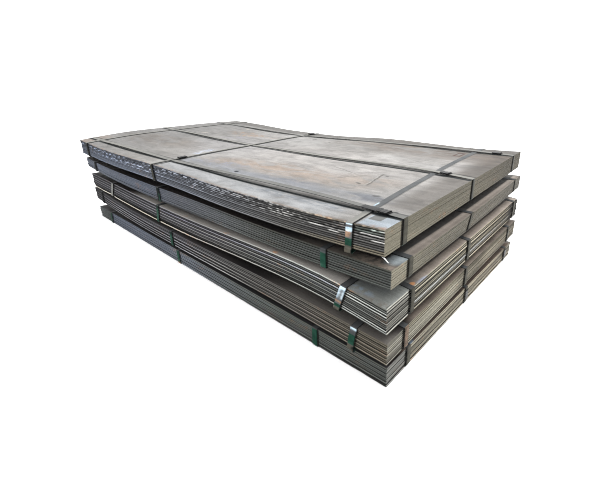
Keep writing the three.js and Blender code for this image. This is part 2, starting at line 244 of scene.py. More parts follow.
# ---- meshes --------------------------------------------------------------------------
def make_object(name, verts, faces, mats, attrs=None, smooth_angle=32.0, face_mats=None):
    me = bpy.data.meshes.new(name)
    me.from_pydata([tuple(map(float, v)) for v in verts], [], faces)
    me.validate(clean_customdata=False)
    for m in mats:
        me.materials.append(m)
    if face_mats is not None:
        me.polygons.foreach_set("material_index", np.asarray(face_mats, np.int32))
    me.polygons.foreach_set("use_smooth", np.ones(len(me.polygons), bool))
    me.update()
    if smooth_angle is not None:
        me.set_sharp_from_angle(angle=math.radians(smooth_angle))
    for key, value in (attrs or {}).items():
        a = me.attributes.new(key, "FLOAT", "POINT")
        a.data.foreach_set("value", np.asarray(value, np.float32))
    ob = bpy.data.objects.new(name, me)
    bpy.context.scene.collection.objects.link(ob)
    return ob


def side_points():
    """The fine loop round a plate: local x, y, outward normal, side (0 near, 1 right, 2 far, 3 left)."""
    xs = [-1500.0]
    while xs[-1] < 1499:
        x = xs[-1]
        step = 9.0 if x < -300 else 6.5 if x < 700 else 4.2
        xs.append(x + step)
    xs = np.array(xs); xs = -1500 + (xs + 1500) * 3000 / (xs[-1] + 1500)
    ys = [-750.0]
    while ys[-1] < 749:
        ys.append(ys[-1] + (4.5 if ys[-1] < -350 else 6.5))
    ys = np.array(ys); ys = -750 + (ys + 750) * 1500 / (ys[-1] + 750)
    fx = np.linspace(1500, -1500, 190)
    ly = np.linspace(750, -750, 110)
    P, N, S, A = [], [], [], []
    q = math.sqrt(0.5)
    def add(x, y, nx, ny, s, a):
        P.append((x, y)); N.append((nx, ny)); S.append(s); A.append(a)
    for x in xs[1:-1]: add(x, -750, 0, -1, 0, x)
    add(1500, -750, q, -q, 0, 1500)
    for y in ys[1:-1]: add(1500, y, 1, 0, 1, y)
    add(1500, 750, q, q, 1, 750)
    for x in fx[1:-1]: add(x, 750, 0, 1, 2, x)
    add(-1500, 750, -q, q, 2, -1500)
    for y in ly[1:-1]: add(-1500, y, -1, 0, 3, y)
    add(-1500, -750, -q, -q, 3, -750)
    return np.array(P), np.array(N), np.array(S), np.array(A)


LOOP_P, LOOP_N, LOOP_S, LOOP_A = side_points()
# how far the plates' edges may stand out beyond their nominal size: near, right, far, left
OUT = np.array([1.6, 1.2, 1.6, 0.6])

# How each bundle's plates differ: torn is how ragged the long edges are, end how far the
# ends of the plates are staggered, roll the rounding of the edges.
STYLE = {
    1: dict(torn=1.0, end=0.5, roll_long=1.9, roll_end=0.45, spread=0.9),
    2: dict(torn=0.16, end=0.6, roll_long=1.7, roll_end=0.5, spread=0.35),
    3: dict(torn=0.30, end=3.6, roll_long=1.2, roll_end=0.9, spread=1.2),
    4: dict(torn=0.24, end=2.6, roll_long=1.5, roll_end=0.9, spread=0.8),
    5: dict(torn=0.14, end=1.8, roll_long=1.4, roll_end=0.8, spread=0.6),
}
# gaps that are wider towards the right end, by the plate above the gap counted from the top
OPEN = {1: {1: 0.9, 3: 1.2}, 3: {1: 1.0, 2: 3.4, 3: 2.4, 8: 3.0, 9: 3.6}, 4: {4: 1.5, 8: 2.4}, 5: {7: 2.4}}
GAPS = {i: [(500 + 40 * i + k, max(1 + STYLE[i]["spread"] * 0.75 * float(hash1(np.array([k]), 90 + i)[0]), 0.15))
            for k in range(b["n"] - 1)] for i, b in BUNDLES.items()}


def plate_base(i, b, k, x, y):
    """Underside height of plate k (0 is the lowest) at local x, y: the air gaps vary along
    the bundle, while their sum stays the same."""
    st = STYLE[i]
    x = np.asarray(x, float); y = np.asarray(y, float)
    x, y = np.broadcast_arrays(x, y)
    total = np.zeros(x.shape); below = np.zeros(x.shape)
    n = b["n"]
    for m, (seed, w) in enumerate(GAPS[i]):
        g = w * (1 + 0.55 * st["spread"] * noise2(x, y * 1.4, 420, seed, 2))
        extra = OPEN.get(i, {}).get(n - 2 - m)
        if extra:
            g = g + extra * smooth((x - 500) / 900)
        g = np.maximum(g, 0.12)
        total = total + g
        if m < k:
            below = below + g
    z = under(b, x, y) + k * THICK + below / total * (n - 1) * b["gap"] + loose(b, x, y) * k / (n - 1)
    if i == 1 or k == 0:
        z = z - sag(b, x, y) * (1 - k / (n - 1))
    return z


def plate_outline(i, b, k):
    """Outward shift of each loop point, and how torn the edge is there."""
    st = STYLE[i]
    n = b["n"]
    ft = n - 1 - k
    seed = 1000 * i + 37 * k
    a = LOOP_A; s = LOOP_S
    stagger = {0: hash1(np.array([k]), seed + 1)[0] * 1.4 - 0.4, 1: (hash1(np.array([k]), seed + 2)[0] - 0.8) * st["end"] * 0.8 + 0.8,
               2: hash1(np.array([k]), seed + 3)[0] * 1.4 - 0.4, 3: hash1(np.array([k]), seed + 4)[0] * 2.0 - 1.6}
    base = np.zeros(len(a)); rag = np.zeros(len(a))
    deep = np.interp(ft, [0, 4, 6, 11], [1.0, 0.9, 0.35, 0.12]) if i == 1 else 1.0
    for side in range(4):
        m = s == side
        t = st["torn"] * deep if side in (0, 2) else 0.05 if i < 3 else 0.12
        wave = 0.8 * noise1(a[m], 260, seed + 11 + side, 2) * (1 if side in (0, 2) else 0.4)
        torn = noise1(a[m], 34, seed + 21 + side, 3, 0.6)
        chips = np.maximum(0, noise1(a[m], 24, seed + 31 + side, 2) - 0.15) * 5.0
        base[m] = stagger[side] + wave + t * (1.2 * torn - chips)
        rag[m] = t
    base = np.clip(base, -7.0, OUT[s])
    for key in "def":                       # where straps press on the edge
        for side, x0 in ((0, float(cross_x(b, key, -750.0))), (2, float(cross_x(b, key, 750.0)))):
            m = (s == side) & (np.abs(a - x0) < 26)
            base[m] = np.minimum(base[m], 0.4)
    for key in "abc":
        for side, y0 in ((1, float(long_y(b, key, 1500.0))), (3, float(long_y(b, key, -1500.0)))):
            m = (s == side) & (np.abs(a - y0) < 26)
            base[m] = np.minimum(base[m], 0.4)
    return base, rag


def step_up(x, x0, width=60.0):
    return smooth((np.asarray(x, float) - x0) / width + 0.5)


# running count of the bright torn dashes along the top bundle's long edges, closer together to the right; they are torn
# steel with a painted glint
DASH_X = np.linspace(-1500, 1500, 601)
DASH_N = np.concatenate([[0.0], np.cumsum(5.0 / np.interp(DASH_X[1:], [-1500, -1000, -500, 0, 500, 1000, 1500], [104, 96, 84, 66, 52, 42, 36]))])
# how strongly each plate from the top shows them
DASH_AT = [-1500, -1100, -900, -700, -400, -200, 100, 300, 900, 1300]
DASH_W = [[.05, .05, .05, .08, .15, .15, .20, .30, .45, .40], [.25, .30, .40, .75, .55, .50, .90, 1.0, .85, .90], [.95, 1.0, .95, .35, .25, .25, .20, .60, .90, .90],
          [.10, .10, .15, .30, .30, .60, 1.0, .60, .60, .60], [.05, .15, .30, .70, 1.0, .90, .50, .60, .60, .50], [.10, .55, .90, .75, .25, .15, .20, .25, .20, .15],
          [.00, .05, .10, .10, .55, .60, .55, .25, .00, .00]]
# brightness of the edges plate by plate from the top: left, middle and right of the near side, then the
# right end near the corner and beyond it
LOOKS = {
    1: ([.040, .034, .078, .078, .072, .082, .100, .085, .090, .095, .150], [.060, .050, .095, .110, .070, .072, .140, .060, .082, .102, .185],
        [.080, .048, .080, .060, .110, .062, .100, .052, .078, .100, .125]),
    3: ([.20, .018, .16, .034, .19, .045, .18, .042, .125, .010, .40], [.25, .034, .21, .045, .19, .045, .155, .050, .115, .016, .30],
        [.100, .085, .020, .016, .095, .050, .100, .055, .075, .016, .020]),
    4: ([.074, .064, .062, .098, .008, .088, .006, .088, .006, .088], [.084, .076, .068, .108, .026, .14, .018, .13, .018, .15],
        [.080, .100, .070, .110, .066, .118, .055, .102, .050, .125]),
}
ENDS = {
    3: ([.38, .35, .19, .27, .14, .08, .20, .13, .25, .18, .46], [.24, .15, .34, .10, .13, .17, .050, .26, .20, .10, .31]),
    4: ([.090, .11, .21, .23, .17, .21, .16, .13, .080, .17], [.100, .13, .16, .18, .225, .20, .245, .20, .16, .20]),
    5: ([.14, .19, .23, .175, .19, .165, .22, .15, .23], [.24, .26, .28, .105, .165, .135, .19, .215, .24]),
}


def edge_look(i, ft, n, s, a):
    """Brightness, warmth (minus is cold: partly the steel's own tint and, towards the left of the near sides, a painted
    reflection of the sky), green, strength of the painted highlight and shade at the joints between plates, and dashes
    of torn steel with a painted glint along an edge.
    """
    seed = 9000 + 100 * i + ft
    own = hash1(np.array([ft]), 730 + i)[0]
    z = np.zeros(len(a))
    lum, warm, green, joint_shading, dash = z + 0.1, z.copy(), z.copy(), z + 0.8, z.copy()
    slow = noise1(a, 420, seed, 2)
    mid = noise1(a, 90, seed + 1, 2)
    def blend(left, right):
        l, m_, r = [v[ft] for v in LOOKS[i]]
        return (l * left + m_ * (1 - left)) * (1 - right) + r * right
    if i == 1:
        left = 1 - step_up(a, -350, 700)
        speck = noise1(a, 13, seed + 9, 2)
        torn = np.interp(ft, [0, 3, 5, 7], [1.0, 0.9, 0.45, 0.0])
        lum = blend(left, step_up(a, 950, 500)) * (1 + 0.10 * slow)
        lum = lum * (1 - torn * (0.35 - 0.95 * np.maximum(speck, 0)))
        lum = lum * np.interp(a, [-1500, -1250, -1000, -700, 0], [0.78, 0.76, 0.94, 0.98, 0.98]) * (np.interp(a, [-1500, -1300], [0.7, 1.0]) if ft > 7 else 1.0)
        warm = np.interp(a, [-900, -300, 300, 700, 1000], [-1.0, -0.75, -0.5, -0.25, 0.0]) + (0.8 * step_up(a, 1150, 400) if ft in (9, 10) else 0)
        count = np.interp(a, DASH_X, DASH_N)
        wave = np.cos(2 * np.pi * (count * (1.0, 1.05, 1.2, 0.9, 0.72, 1.1)[min(ft, 5)] + 0.31 * ft * ft + 0.20 * noise1(count * 100, 170, seed + 7, 2)))
        rough = step_up(a, -700, 500)
        v = wave * (1 - 0.45 * rough) + 1.5 * rough * noise1(count * 100, 62, seed + 5, 2)
        rows = np.clip((v + 0.02) * 2.8, 0, 1)
        sparse = np.clip(0.80 + 1.5 * noise1(count * 100, 380, seed + 6, 2), 0.0, 1)
        which = np.interp(a, DASH_AT, DASH_W[ft]) if ft < len(DASH_W) else 0 * a
        dash = rows * sparse * which * np.interp(a, [-1500, -1100, -800, -300, 200, 450, 800, 1000, 1330], [0.66, 0.78, 0.86, 0.95, 0.95, 0.68, 0.64, 0.95, 0.50])
        if ft == 0:
            warm = warm + 0.6 * step_up(a, 1150, 300)
            lum = lum + 0.03 * step_up(a, 900, 500) + 0.035 * smooth((170 - np.abs(a - 1230)) / 120)
        if ft == 4: dash = np.maximum(dash, smooth((46 - np.abs(a - 1190)) / 22) * 0.75)
        if ft == 5: dash = np.maximum(dash, smooth((34 - np.abs(a - 1278)) / 18) * 0.85)
        if ft == 3: dash = np.maximum(dash * (a < 1380), 0.82 * step_up(a, 1402, 10) * (1 - step_up(a, 1478, 30) * 0.4))
        if ft == 5: dash = np.maximum(dash * (a < 1380), 0.8 * step_up(a, 1450, 20))
        if ft == 1: dash = np.maximum(dash * (a < 1380), 0.8 * smooth((13 - np.abs(a - 1456)) / 8) + 0.7 * step_up(a, 1480, 10))
        green = 0.9 * smooth((80 - np.abs(a - 1435)) / 40) * (1 if ft in (1, 2) else 0)
        lum = lum + 0.065 * green * (0.6 + 0.4 * speck)
        joint_shading = np.interp(a, [-1250, -300, 300, 800], [0.55, 0.72, 0.88, 0.97]) if ft < 5 else np.interp(a, [-1200, -300, 300, 800], [0.30, 0.45, 0.80, 0.95])
    elif i == 2:
        left = 1 - step_up(a, -100, 600)
        lum = (0.088 + 0.012 * own) * left + (0.092 + 0.014 * own + 0.012 * slow) * (1 - left) - 0.008 * step_up(a, 700, 800)
        if ft >= 5: lum = lum * (1 + 0.12 * step_up(a, 700, 500)) * (1 - 0.10 * left)
        lum = lum * np.interp(a, [-1500, -1350, -1250, -1000, -300, 500, 900], [0.62, 0.78, 1.00, 0.80, 0.84, 0.80, 0.61])
        if ft == n - 1: lum = lum * np.interp(a, [-1300, -1100, -900, -300, 0, 250, 500], [0.35, 1.3, 1.1, 0.6, 0.25, 0.35, 1.25])
        if ft == 0: lum = lum * (1 - 0.15 * step_up(a, 500, 600) + 0.3 * step_up(a, 1380, 100))
        warm = np.interp(a, [-400, 0, 500, 800], [-1.0, -0.55, -0.35, 0.0]) + (0.6 * step_up(a, 600, 800) if ft == 0 else 0)
        green = np.interp(a, [100, 500, 900], [0.0, 0.3, 0.6])
        joint_shading = 0.80 - 0.55 * left
    elif i == 3:
        left = 1 - step_up(a, -250, 500)
        right = step_up(a, 1285, 20)
        lum = blend(left, right) * (1 + 0.14 * slow)
        if ft < 4: lum = lum * (np.interp(a, [-1000, -100, 250, 500, 900, 1100], [0.85, 0.9, 0.95, 1.08, 1.25, 1.45]) * (1 - right) + right)
        lum = lum * np.interp(a, [-1500, -1250, -1000, -700, -400], [0.55, 0.66, 0.70, 0.92, 1.0])
        if 7 <= ft <= 9: lum = lum * np.interp(a, [-300, 300], [0.62, 1.0])
        if ft == 10: lum = lum * np.interp(a, [-1500, -1000, -700, -300, 200, 700, 1250], [2.4, 2.0, 1.25, 1.1, 1.0, 0.80, 0.55])
        dash = 0.92 * right * (ft in (2, 3)) * (0.85 + 0.3 * mid) + 0.80 * right * (ft in (9, 10)) * (0.85 + 0.4 * mid) + 0.15 * right * (ft == 6) + z
        dash = dash + 0.26 * (1 - left) * (1 - right) * (ft == 10) * (0.7 + 0.3 * slow)
        warm = np.interp(a, [-500, 200, 800], [-0.55, -0.2, 0.0]) * (ft != 10)
        if ft == n - 1: warm = 0.55 * (1 - right) * (0.6 + 0.4 * step_up(a, -900, 200)) * (1 - 0.8 * step_up(a, 0, 700)) + z
        warm = warm - (0.8 if ft in (1, 2, 5) else 0) * (1 - left) * (1 - right) * (0.5 + 0.5 * smooth(noise1(a, 300, seed + 8, 1) * 2))
        if ft == 0: warm = warm + 0.2 * right
        green = np.interp(a, [500, 1000], [0.0, 0.35])
        joint_shading = z + 0.99
        joint_shading = np.where((ft == 10) & (a < 200), 0.10, joint_shading)
    elif i == 4:
        left = 1 - step_up(a, 0, 700)
        right = step_up(a, 600, 400)
        lum = blend(left, right) * (1 + 0.15 * slow)
        lum = lum * np.interp(a, [-1500, -1400, -1250, -1000, -700, -400, 300], [0.12, 0.25, 0.52, 0.68, 0.70, 0.98, 0.95])
        if ft > 6: lum = lum * np.interp(a, [400, 1000], [0.85, 1.1])
        line = np.clip(1 + 0.8 * slow, 0, 1.3)
        dash = line * (0.34 * left * (ft in (3, 5, 7)) + 0.20 * left * (ft == 9) + (1 - left) * (1 - right) * (0.16 * (ft in (3, 5, 7)) + 0.50 * (ft == 9)))
        dash = dash * np.interp(a, [-1500, -1250, -1000, -500], [0.3, 0.5, 0.8, 1.0]) + 0.05 * right * (ft in (5, 9))
        warm = np.interp(a, [0, 500, 1000, 1400], [-0.5, 0.0, 0.25, 0.7])
        joint_shading = z + 0.985
    else:
        le = 1 - step_up(a, -1236, 12)
        left = (1 - step_up(a, -94, 10)) * (1 - le)
        rest = 1 - le - left
        lum = np.interp(a, [-1500, -1250, -1236, -900, -400, 0, 400, 800, 1100, 1300, 1500], [.068, .060, .078, .088, .100, .118, .106, .092, .080, .080, .060])
        lum = lum * (1 + 0.14 * own * (1 - le) + 0.10 * slow) * np.interp(a, [-1500, -1350, -1250, -1236, -1000, -700, -300, -50, 300], [1.02, 0.88, 0.62, 1.12, 1.20, 1.18, 1.14, 1.16, 0.98])
        if ft > 5: lum = lum * np.interp(a, [300, 500], [1.0, 0.80])
        lum += 0.035 * (ft == n - 2) * rest * smooth((a - 100) / 700)
        warm = np.interp(a, [-1250, -1236, 100, 600, 900], [-0.4, -1.0, -0.65, -0.3, 0.0])
        green = np.interp(a, [-1250, -1236, 100, 700], [0.7, 0.0, 0.2, 0.6])
        joint_shading = 0.95 * rest + 0.40 * left + 0.35 * le
        if ft == n - 1: lum = lum * (1 + 0.5 * rest * (1 - step_up(a, 1240, 60)) - 0.6 * step_up(a, 300, 300))
        if ft == 0: warm = warm + 0.4 * rest
    # the ends are sheared: smooth and warm where the plates lie tight; where they lie apart, painted shade marks the
    # joints
    e = s == 1
    if e.any():
        ya = a[e]
        sl = noise1(ya, 300, seed + 31, 2)
        far = step_up(ya, 0, 900)
        c = 1 - step_up(ya, long_y(BUNDLES[i], "a", 1500.0), 40)
        gr = 0.20 * (1 - far) + 0.05
        if i == 1:
            v = 0.152 * c + 0.106 * (1 - c) * np.interp(ya, [-560, -400, -120, 100, 300, 500, 700], [1.02, 0.87, 0.80, 0.70, 0.57, 0.41, 0.50])
            v = v * (0.88 + 0.030 * ft * (1 - c)) * (1 + 0.04 * own)
            g = np.where(np.isin(ft, [6, 8, 9, 10]), 0.22, 0.02) * (0.10 + 0.90 * step_up(ya, -420, 250)) + 0 * ya
            w = 1.0 + 0 * ya
        elif i == 2:
            v = 0.160 * c + 0.102 * (1 - c) * np.interp(ya, [-560, -400, -120, 100, 300, 500, 700], [1.06, 0.83, 0.70, 0.63, 0.58, 0.43, 0.44])
            v = v * (1 + 0.04 * own) * (0.85 if ft == n - 1 else 1.0)
            g = (0.13 if ft in (3, 6) else 0.03) + 0 * ya; w = 1.0 + 0.1 * far
            if ft == 0: v = v * 0.92
        else:
            v = ENDS[i][0][ft] * c + ENDS[i][1][ft] * (1 - c)
            if i == 3:
                v = v * np.interp(ya, [-560, -450, -400, 100, 300, 480, 560, 610, 700], [0.80, 0.88, 1.0, 1.0, 0.80, 0.58, 0.48, 0.08, 0.06])
                blu = smooth((0.5 - np.abs((ya + 490) / 90)) * 4) * (ft == 0)
                v = v * (1 - blu) + 0.20 * blu
                g = 0.95 + 0 * ya
                w = 0.35 * c + (1 - c) * (1.6 if ft in (1, 3, 4) else 0.0 if ft in (7, 8) else 0.9) + 0.5 * step_up(ya, 300, 300) - 1.9 * blu
            elif i == 4:
                v = v * np.interp(ya, [-600, -300, -180, -100, 120, 260, 450, 700], [1.0, 1.18, 1.12, 0.72, 0.56, 0.88, 0.66, 0.52])
                if ft < 3: v = v * np.interp(ya, [-450, -200, 0], [1.15, 1.05, 0.85])
                g = np.where(np.isin(ft, [0, 1, 4, 6, 7, 8]), 0.93, 0.70) + 0 * ya
                w = 0.55 * c + (1 - c) * (0.75 + 0.6 * (ft < 3)) + 0.4 * far * (hash1(np.array([ft]), 77)[0] > 0.5)
            else:
                v = v * np.interp(ya, [-560, -420, -250, 300, 520, 700], [0.80, 0.9, 1.08, 0.98, 0.64 if ft < 5 else 0.95, 0.42 if ft < 5 else 0.85])
                g = 0.85 + 0 * ya; w = 0.15 * c + 0.95 * (1 - c)
        lum[e] = v * (1 + 0.08 * sl); warm[e] = w; green[e] = gr; joint_shading[e] = g
        dash[e] = (0.34 * (1 - c) * (1 - 0.8 * far) * (0.75 + 0.25 * sl)) if (i == 3 and ft in (7, 8)) else 0
    up = (n - ft - 0.5) / n
    # painted shadow beside the straps: on the near side a dark band right of each cross strap and a fainter one left of
    # it, on the right end a dark band on the near side of each long strap
    shade = z.copy()
    for key in "def":
        d = a - float(cross_x(BUNDLES[i], key, -750.0)) - LEAN.get((i, key), 0.0) * (up - 0.5) - SLIP.get((i, key), 0.0)
        w = np.interp(float(cross_x(BUNDLES[i], key, -750.0)), [-1400, -900, 0, 1400], [21, 15, 11, 6])
        sh = np.maximum(0.95 * smooth((d - 12) / 4) * smooth((16 + w - d) / 4), 0.6 * smooth((-12 - d) / 4) * smooth((16 + 0.5 * w + d) / 4))
        shade = np.maximum(shade, sh * (s == 0))
    for key in "abc":
        d = a - float(long_y(BUNDLES[i], key, 1500.0)) - LEAN_END.get((i, key), 0.0) * (up - 1)
        shade = np.maximum(shade, 0.96 * smooth((-12 - d) / 4) * smooth((29 + d) / 5) * (s == 1))
    lum = lum * (1 - shade); dash = dash * (1 - shade)
    e = s == 3
    if e.any():
        lum[e] = (0.15 + 0.03 * own) * (1 + 0.12 * noise1(a[e], 300, seed + 41, 2)); warm[e] = -0.15; green[e] = 0.2
        joint_shading[e] = 0.55 if i < 3 else 0.8; dash[e] = 0
    lum = np.maximum(lum * (1 + 0.05 * mid), 0.010)
    return lum, warm, green, joint_shading, dash


def build_plate(i, k, mats):
    b = BUNDLES[i]
    st = STYLE[i]
    n = b["n"]
    ft = n - 1 - k
    outer = k == n - 1 or k == 0
    seed = 1000 * i + 37 * k
    base, rag = plate_outline(i, b, k)
    m = len(base)
    endside = (LOOP_S == 1) | (LOOP_S == 3)
    roll = np.where(endside, st["roll_end"], st["roll_long"]) * (1 + 0.3 * noise1(LOOP_A, 60, seed + 5, 2))
    h = THICK / 2
    lip_t = rag * np.maximum(0, noise1(LOOP_A, 22, seed + 41, 2) - 0.05) * 3.4     # torn lips
    lip_b = rag * np.maximum(0, noise1(LOOP_A, 26, seed + 43, 2) - 0.05) * 3.0
    mid = rag * noise1(LOOP_A, 30, seed + 47, 3, 0.6) * 1.6
    lum, warm, green, joint_shading, dash = edge_look(i, ft, n, LOOP_S, LOOP_A)
    shut = np.where(LOOP_S == 1, np.clip(1 - 2.2 * joint_shading, 0, 1), 0.0) * (0.42 if i < 3 else 0.0)
    if i == 1: shut = np.where(LOOP_S == 0, 0.42 * b["gap"] * np.interp(LOOP_A, [0, 700], [1, 0]), shut)
    if i == 2: shut = np.where(LOOP_S == 0, 0.45 * (b["gap"] + loose(b, LOOP_A, -750.0) / (n - 1)) * np.interp(LOOP_A, [300, 1000], [1, 0.6]), shut)
    # painted light and shade on each plate's edge: the joint shading strength lightens the upper rounding as a painted
    # highlight, and darkens the lower rounding, the bottom rim and the faces inside the gap between plates as painted
    # shade
    deep = np.where(LOOP_S == 1, lum * (0.75 - 0.72 * joint_shading), 0.05 * lum + 0.002)
    #        inset from the outline, height above the plate's middle, brightness
    rows = [(np.full(m, 6.0), np.full(m, h), deep if k < n - 1 else lum),
            (roll + lip_t, h - 0.06 - 0.08 * lip_t + (shut if k < n - 1 else 0), lum * (1.0 - 0.30 * joint_shading) + 0.60 * dash),
            (0.3 * roll + 0.45 * lip_t, h - 0.55 * roll - 0.3 * lip_t + (0.8 * shut if k < n - 1 else 0), lum * (1 + 0.62 * joint_shading) + 0.78 * dash),
            (0.9 * np.maximum(-mid, 0), 0.35 + 0.3 * mid, lum * (1 - 0.22 * joint_shading) + 0.15 * dash),
            (0.3 * roll + 0.45 * lip_b, -h + 0.75 * roll + 0.3 * lip_b - (0.8 * shut if k else 0), lum * (1 - 0.92 * joint_shading)),
            (roll + lip_b, -h + 0.06 + 0.08 * lip_b - (shut if k else 0), lum * (1 - 0.985 * joint_shading)),
            (np.full(m, 6.0), np.full(m, -h), deep)]
    verts, L = [], []
    sx, sy = np.sign(LOOP_N[:, 0]), np.sign(LOOP_N[:, 1])
    for inset, z, v in rows:
        x = LOOP_P[:, 0] + sx * (base - inset)
        y = LOOP_P[:, 1] + sy * (base - inset)
        zz = plate_base(i, b, k, np.clip(x, -1500, 1500), np.clip(y, -750, 750)) + h + z
        verts.append(np.stack([x, y, zz], 1)); L.append(v)
    R = len(rows)
    nx, ny = (28, 14) if outer else (14, 6)
    X = np.linspace(-1430, 1430, nx + 1); Y = np.linspace(-680, 680, ny + 1)
    gx, gy = np.meshgrid(X, Y, indexing="ij")
    zb = plate_base(i, b, k, gx, gy)
    top_in = np.stack([gx, gy, zb + THICK], -1).reshape(-1, 3)
    bot_in = np.stack([gx, gy, zb], -1).reshape(-1, 3)
    V = np.concatenate(verts + [top_in, bot_in])
    pad = np.zeros(2 * len(top_in))
    A = dict(lum=np.concatenate(L + [pad + 0.05]), warm=np.concatenate([warm] * R + [pad]),
             green=np.concatenate([green] * R + [pad]), bare_and_glint=np.concatenate([dash] * R + [pad]),
             lay=np.concatenate([(k * THICK + h + z) * MM for _, z, _ in rows] + [pad]))
    F, M = [], []
    idx = np.arange(m); nxt = (idx + 1) % m
    for r in range(R - 1):
        a0, a1 = r * m, (r + 1) * m
        F += list(zip((a0 + idx).tolist(), (a1 + idx).tolist(), (a1 + nxt).tolist(), (a0 + nxt).tolist()))
        M += [0 if r in (0, R - 2) else 1] * m
    top0 = R * m; bot0 = top0 + len(top_in)
    def gi(p, q, base_): return base_ + p * (ny + 1) + q
    for p in range(nx):
        for q in range(ny):
            F.append((gi(p, q, top0), gi(p + 1, q, top0), gi(p + 1, q + 1, top0), gi(p, q + 1, top0)))
            F.append((gi(p, q, bot0), gi(p, q + 1, bot0), gi(p + 1, q + 1, bot0), gi(p + 1, q, bot0)))
            M += [0, 0]
    ring = ([(p, 0) for p in range(nx)] + [(nx, q) for q in range(ny)]
            + [(p, ny) for p in range(nx, 0, -1)] + [(0, q) for q in range(ny, 0, -1)])
    def nearest(p, q):
        x = -1500 if p == 0 else 1500 if p == nx else X[p]
        y = -750 if q == 0 else 750 if q == ny else Y[q]
        return int(np.argmin((LOOP_P[:, 0] - x) ** 2 + (LOOP_P[:, 1] - y) ** 2))
    marks = [nearest(p, q) for p, q in ring]
    for t in range(len(ring)):
        (p0, q0), (p1, q1) = ring[t], ring[(t + 1) % len(ring)]
        f0, f1 = marks[t], marks[(t + 1) % len(ring)]
        run = [f0]
        while run[-1] != f1:
            run.append((run[-1] + 1) % m)
        last = (R - 1) * m
        F.append(tuple(run + [gi(p1, q1, top0), gi(p0, q0, top0)]))
        F.append(tuple([last + j for j in reversed(run)] + [gi(p0, q0, bot0), gi(p1, q1, bot0)]))
        M += [0, 0]
    ob = make_object("bundle_%d_plate_%02d" % (i, k + 1), place(b, V), F, mats, A, smooth_angle=38, face_mats=M)
    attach(ob, "root")
    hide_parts("bundle_%d_plates" % i)
    return ob


# ---- straps ----------------------------------------------------------------------------
# across the strap: a slightly cambered band with rounded edges
SECTION = [(-15.5, 0.0), (15.5, 0.0), (16.0, 0.35), (16.0, 0.7), (15.3, 0.97), (11.0, 1.0), (0.0, 1.0), (-11.0, 1.0),
           (-15.3, 0.97), (-16.0, 0.7), (-16.0, 0.35)]
PATHS = {}


def wrap(lo, hi, top, bottom, n_top, n_bottom, n_side, R=3.2, bulge_lo=0.0, bulge_hi=0.0, droop=0.0, reach=70.0, off_hi=0.0):
    """The closed line of a strap round a bundle, in the plane of its run: position along, height,
    outward normal, and which run a point is on (0 under, 1 low end, 2 on top, 3 high end)."""
    P = []
    def rad(a): return math.radians(a)
    def low(s):
        return float(bottom(s)) - droop * math.exp(-((s - lo) / reach) ** 2)
    for s in np.linspace(hi - R, lo + R, n_bottom):
        P.append((s, low(s), 0.0, -1.0, 0))
    zc = low(lo + R) + R
    for a in np.linspace(-90, -180, 7)[1:-1]:
        P.append((lo + R + R * math.cos(rad(a)), zc + R * math.sin(rad(a)), math.cos(rad(a)), math.sin(rad(a)), 1))
    z1 = float(top(lo + R)) - R
    for t in np.linspace(0, 1, n_side):
        P.append((lo - bulge_lo * math.sin(math.pi * t) ** 0.8, zc + (z1 - zc) * t, -1.0, 0.0, 1))
    for a in np.linspace(180, 90, 7)[1:-1]:
        P.append((lo + R + R * math.cos(rad(a)), z1 + R * math.sin(rad(a)), math.cos(rad(a)), math.sin(rad(a)), 2))
    for s in n_top if hasattr(n_top, "__len__") else np.linspace(lo + R, hi - R, n_top):
        P.append((s, float(top(s)), 0.0, 1.0, 2))
    z1 = float(top(hi - R)) - R
    for a in np.linspace(90, 0, 7)[1:-1]:
        P.append((hi - R + R * math.cos(rad(a)) + off_hi, z1 + R * math.sin(rad(a)), math.cos(rad(a)), math.sin(rad(a)), 3))
    zc = float(bottom(hi - R)) + R
    for t in np.linspace(1, 0, n_side):
        P.append((hi + off_hi + bulge_hi * math.sin(math.pi * t) ** 0.8, zc + (z1 - zc) * t, 1.0, 0.0, 3))
    for a in np.linspace(0, -90, 7)[1:-1]:
        P.append((hi - R + R * math.cos(rad(a)) + off_hi, zc + R * math.sin(rad(a)), math.cos(rad(a)), math.sin(rad(a)), 0))
    return np.array(P)


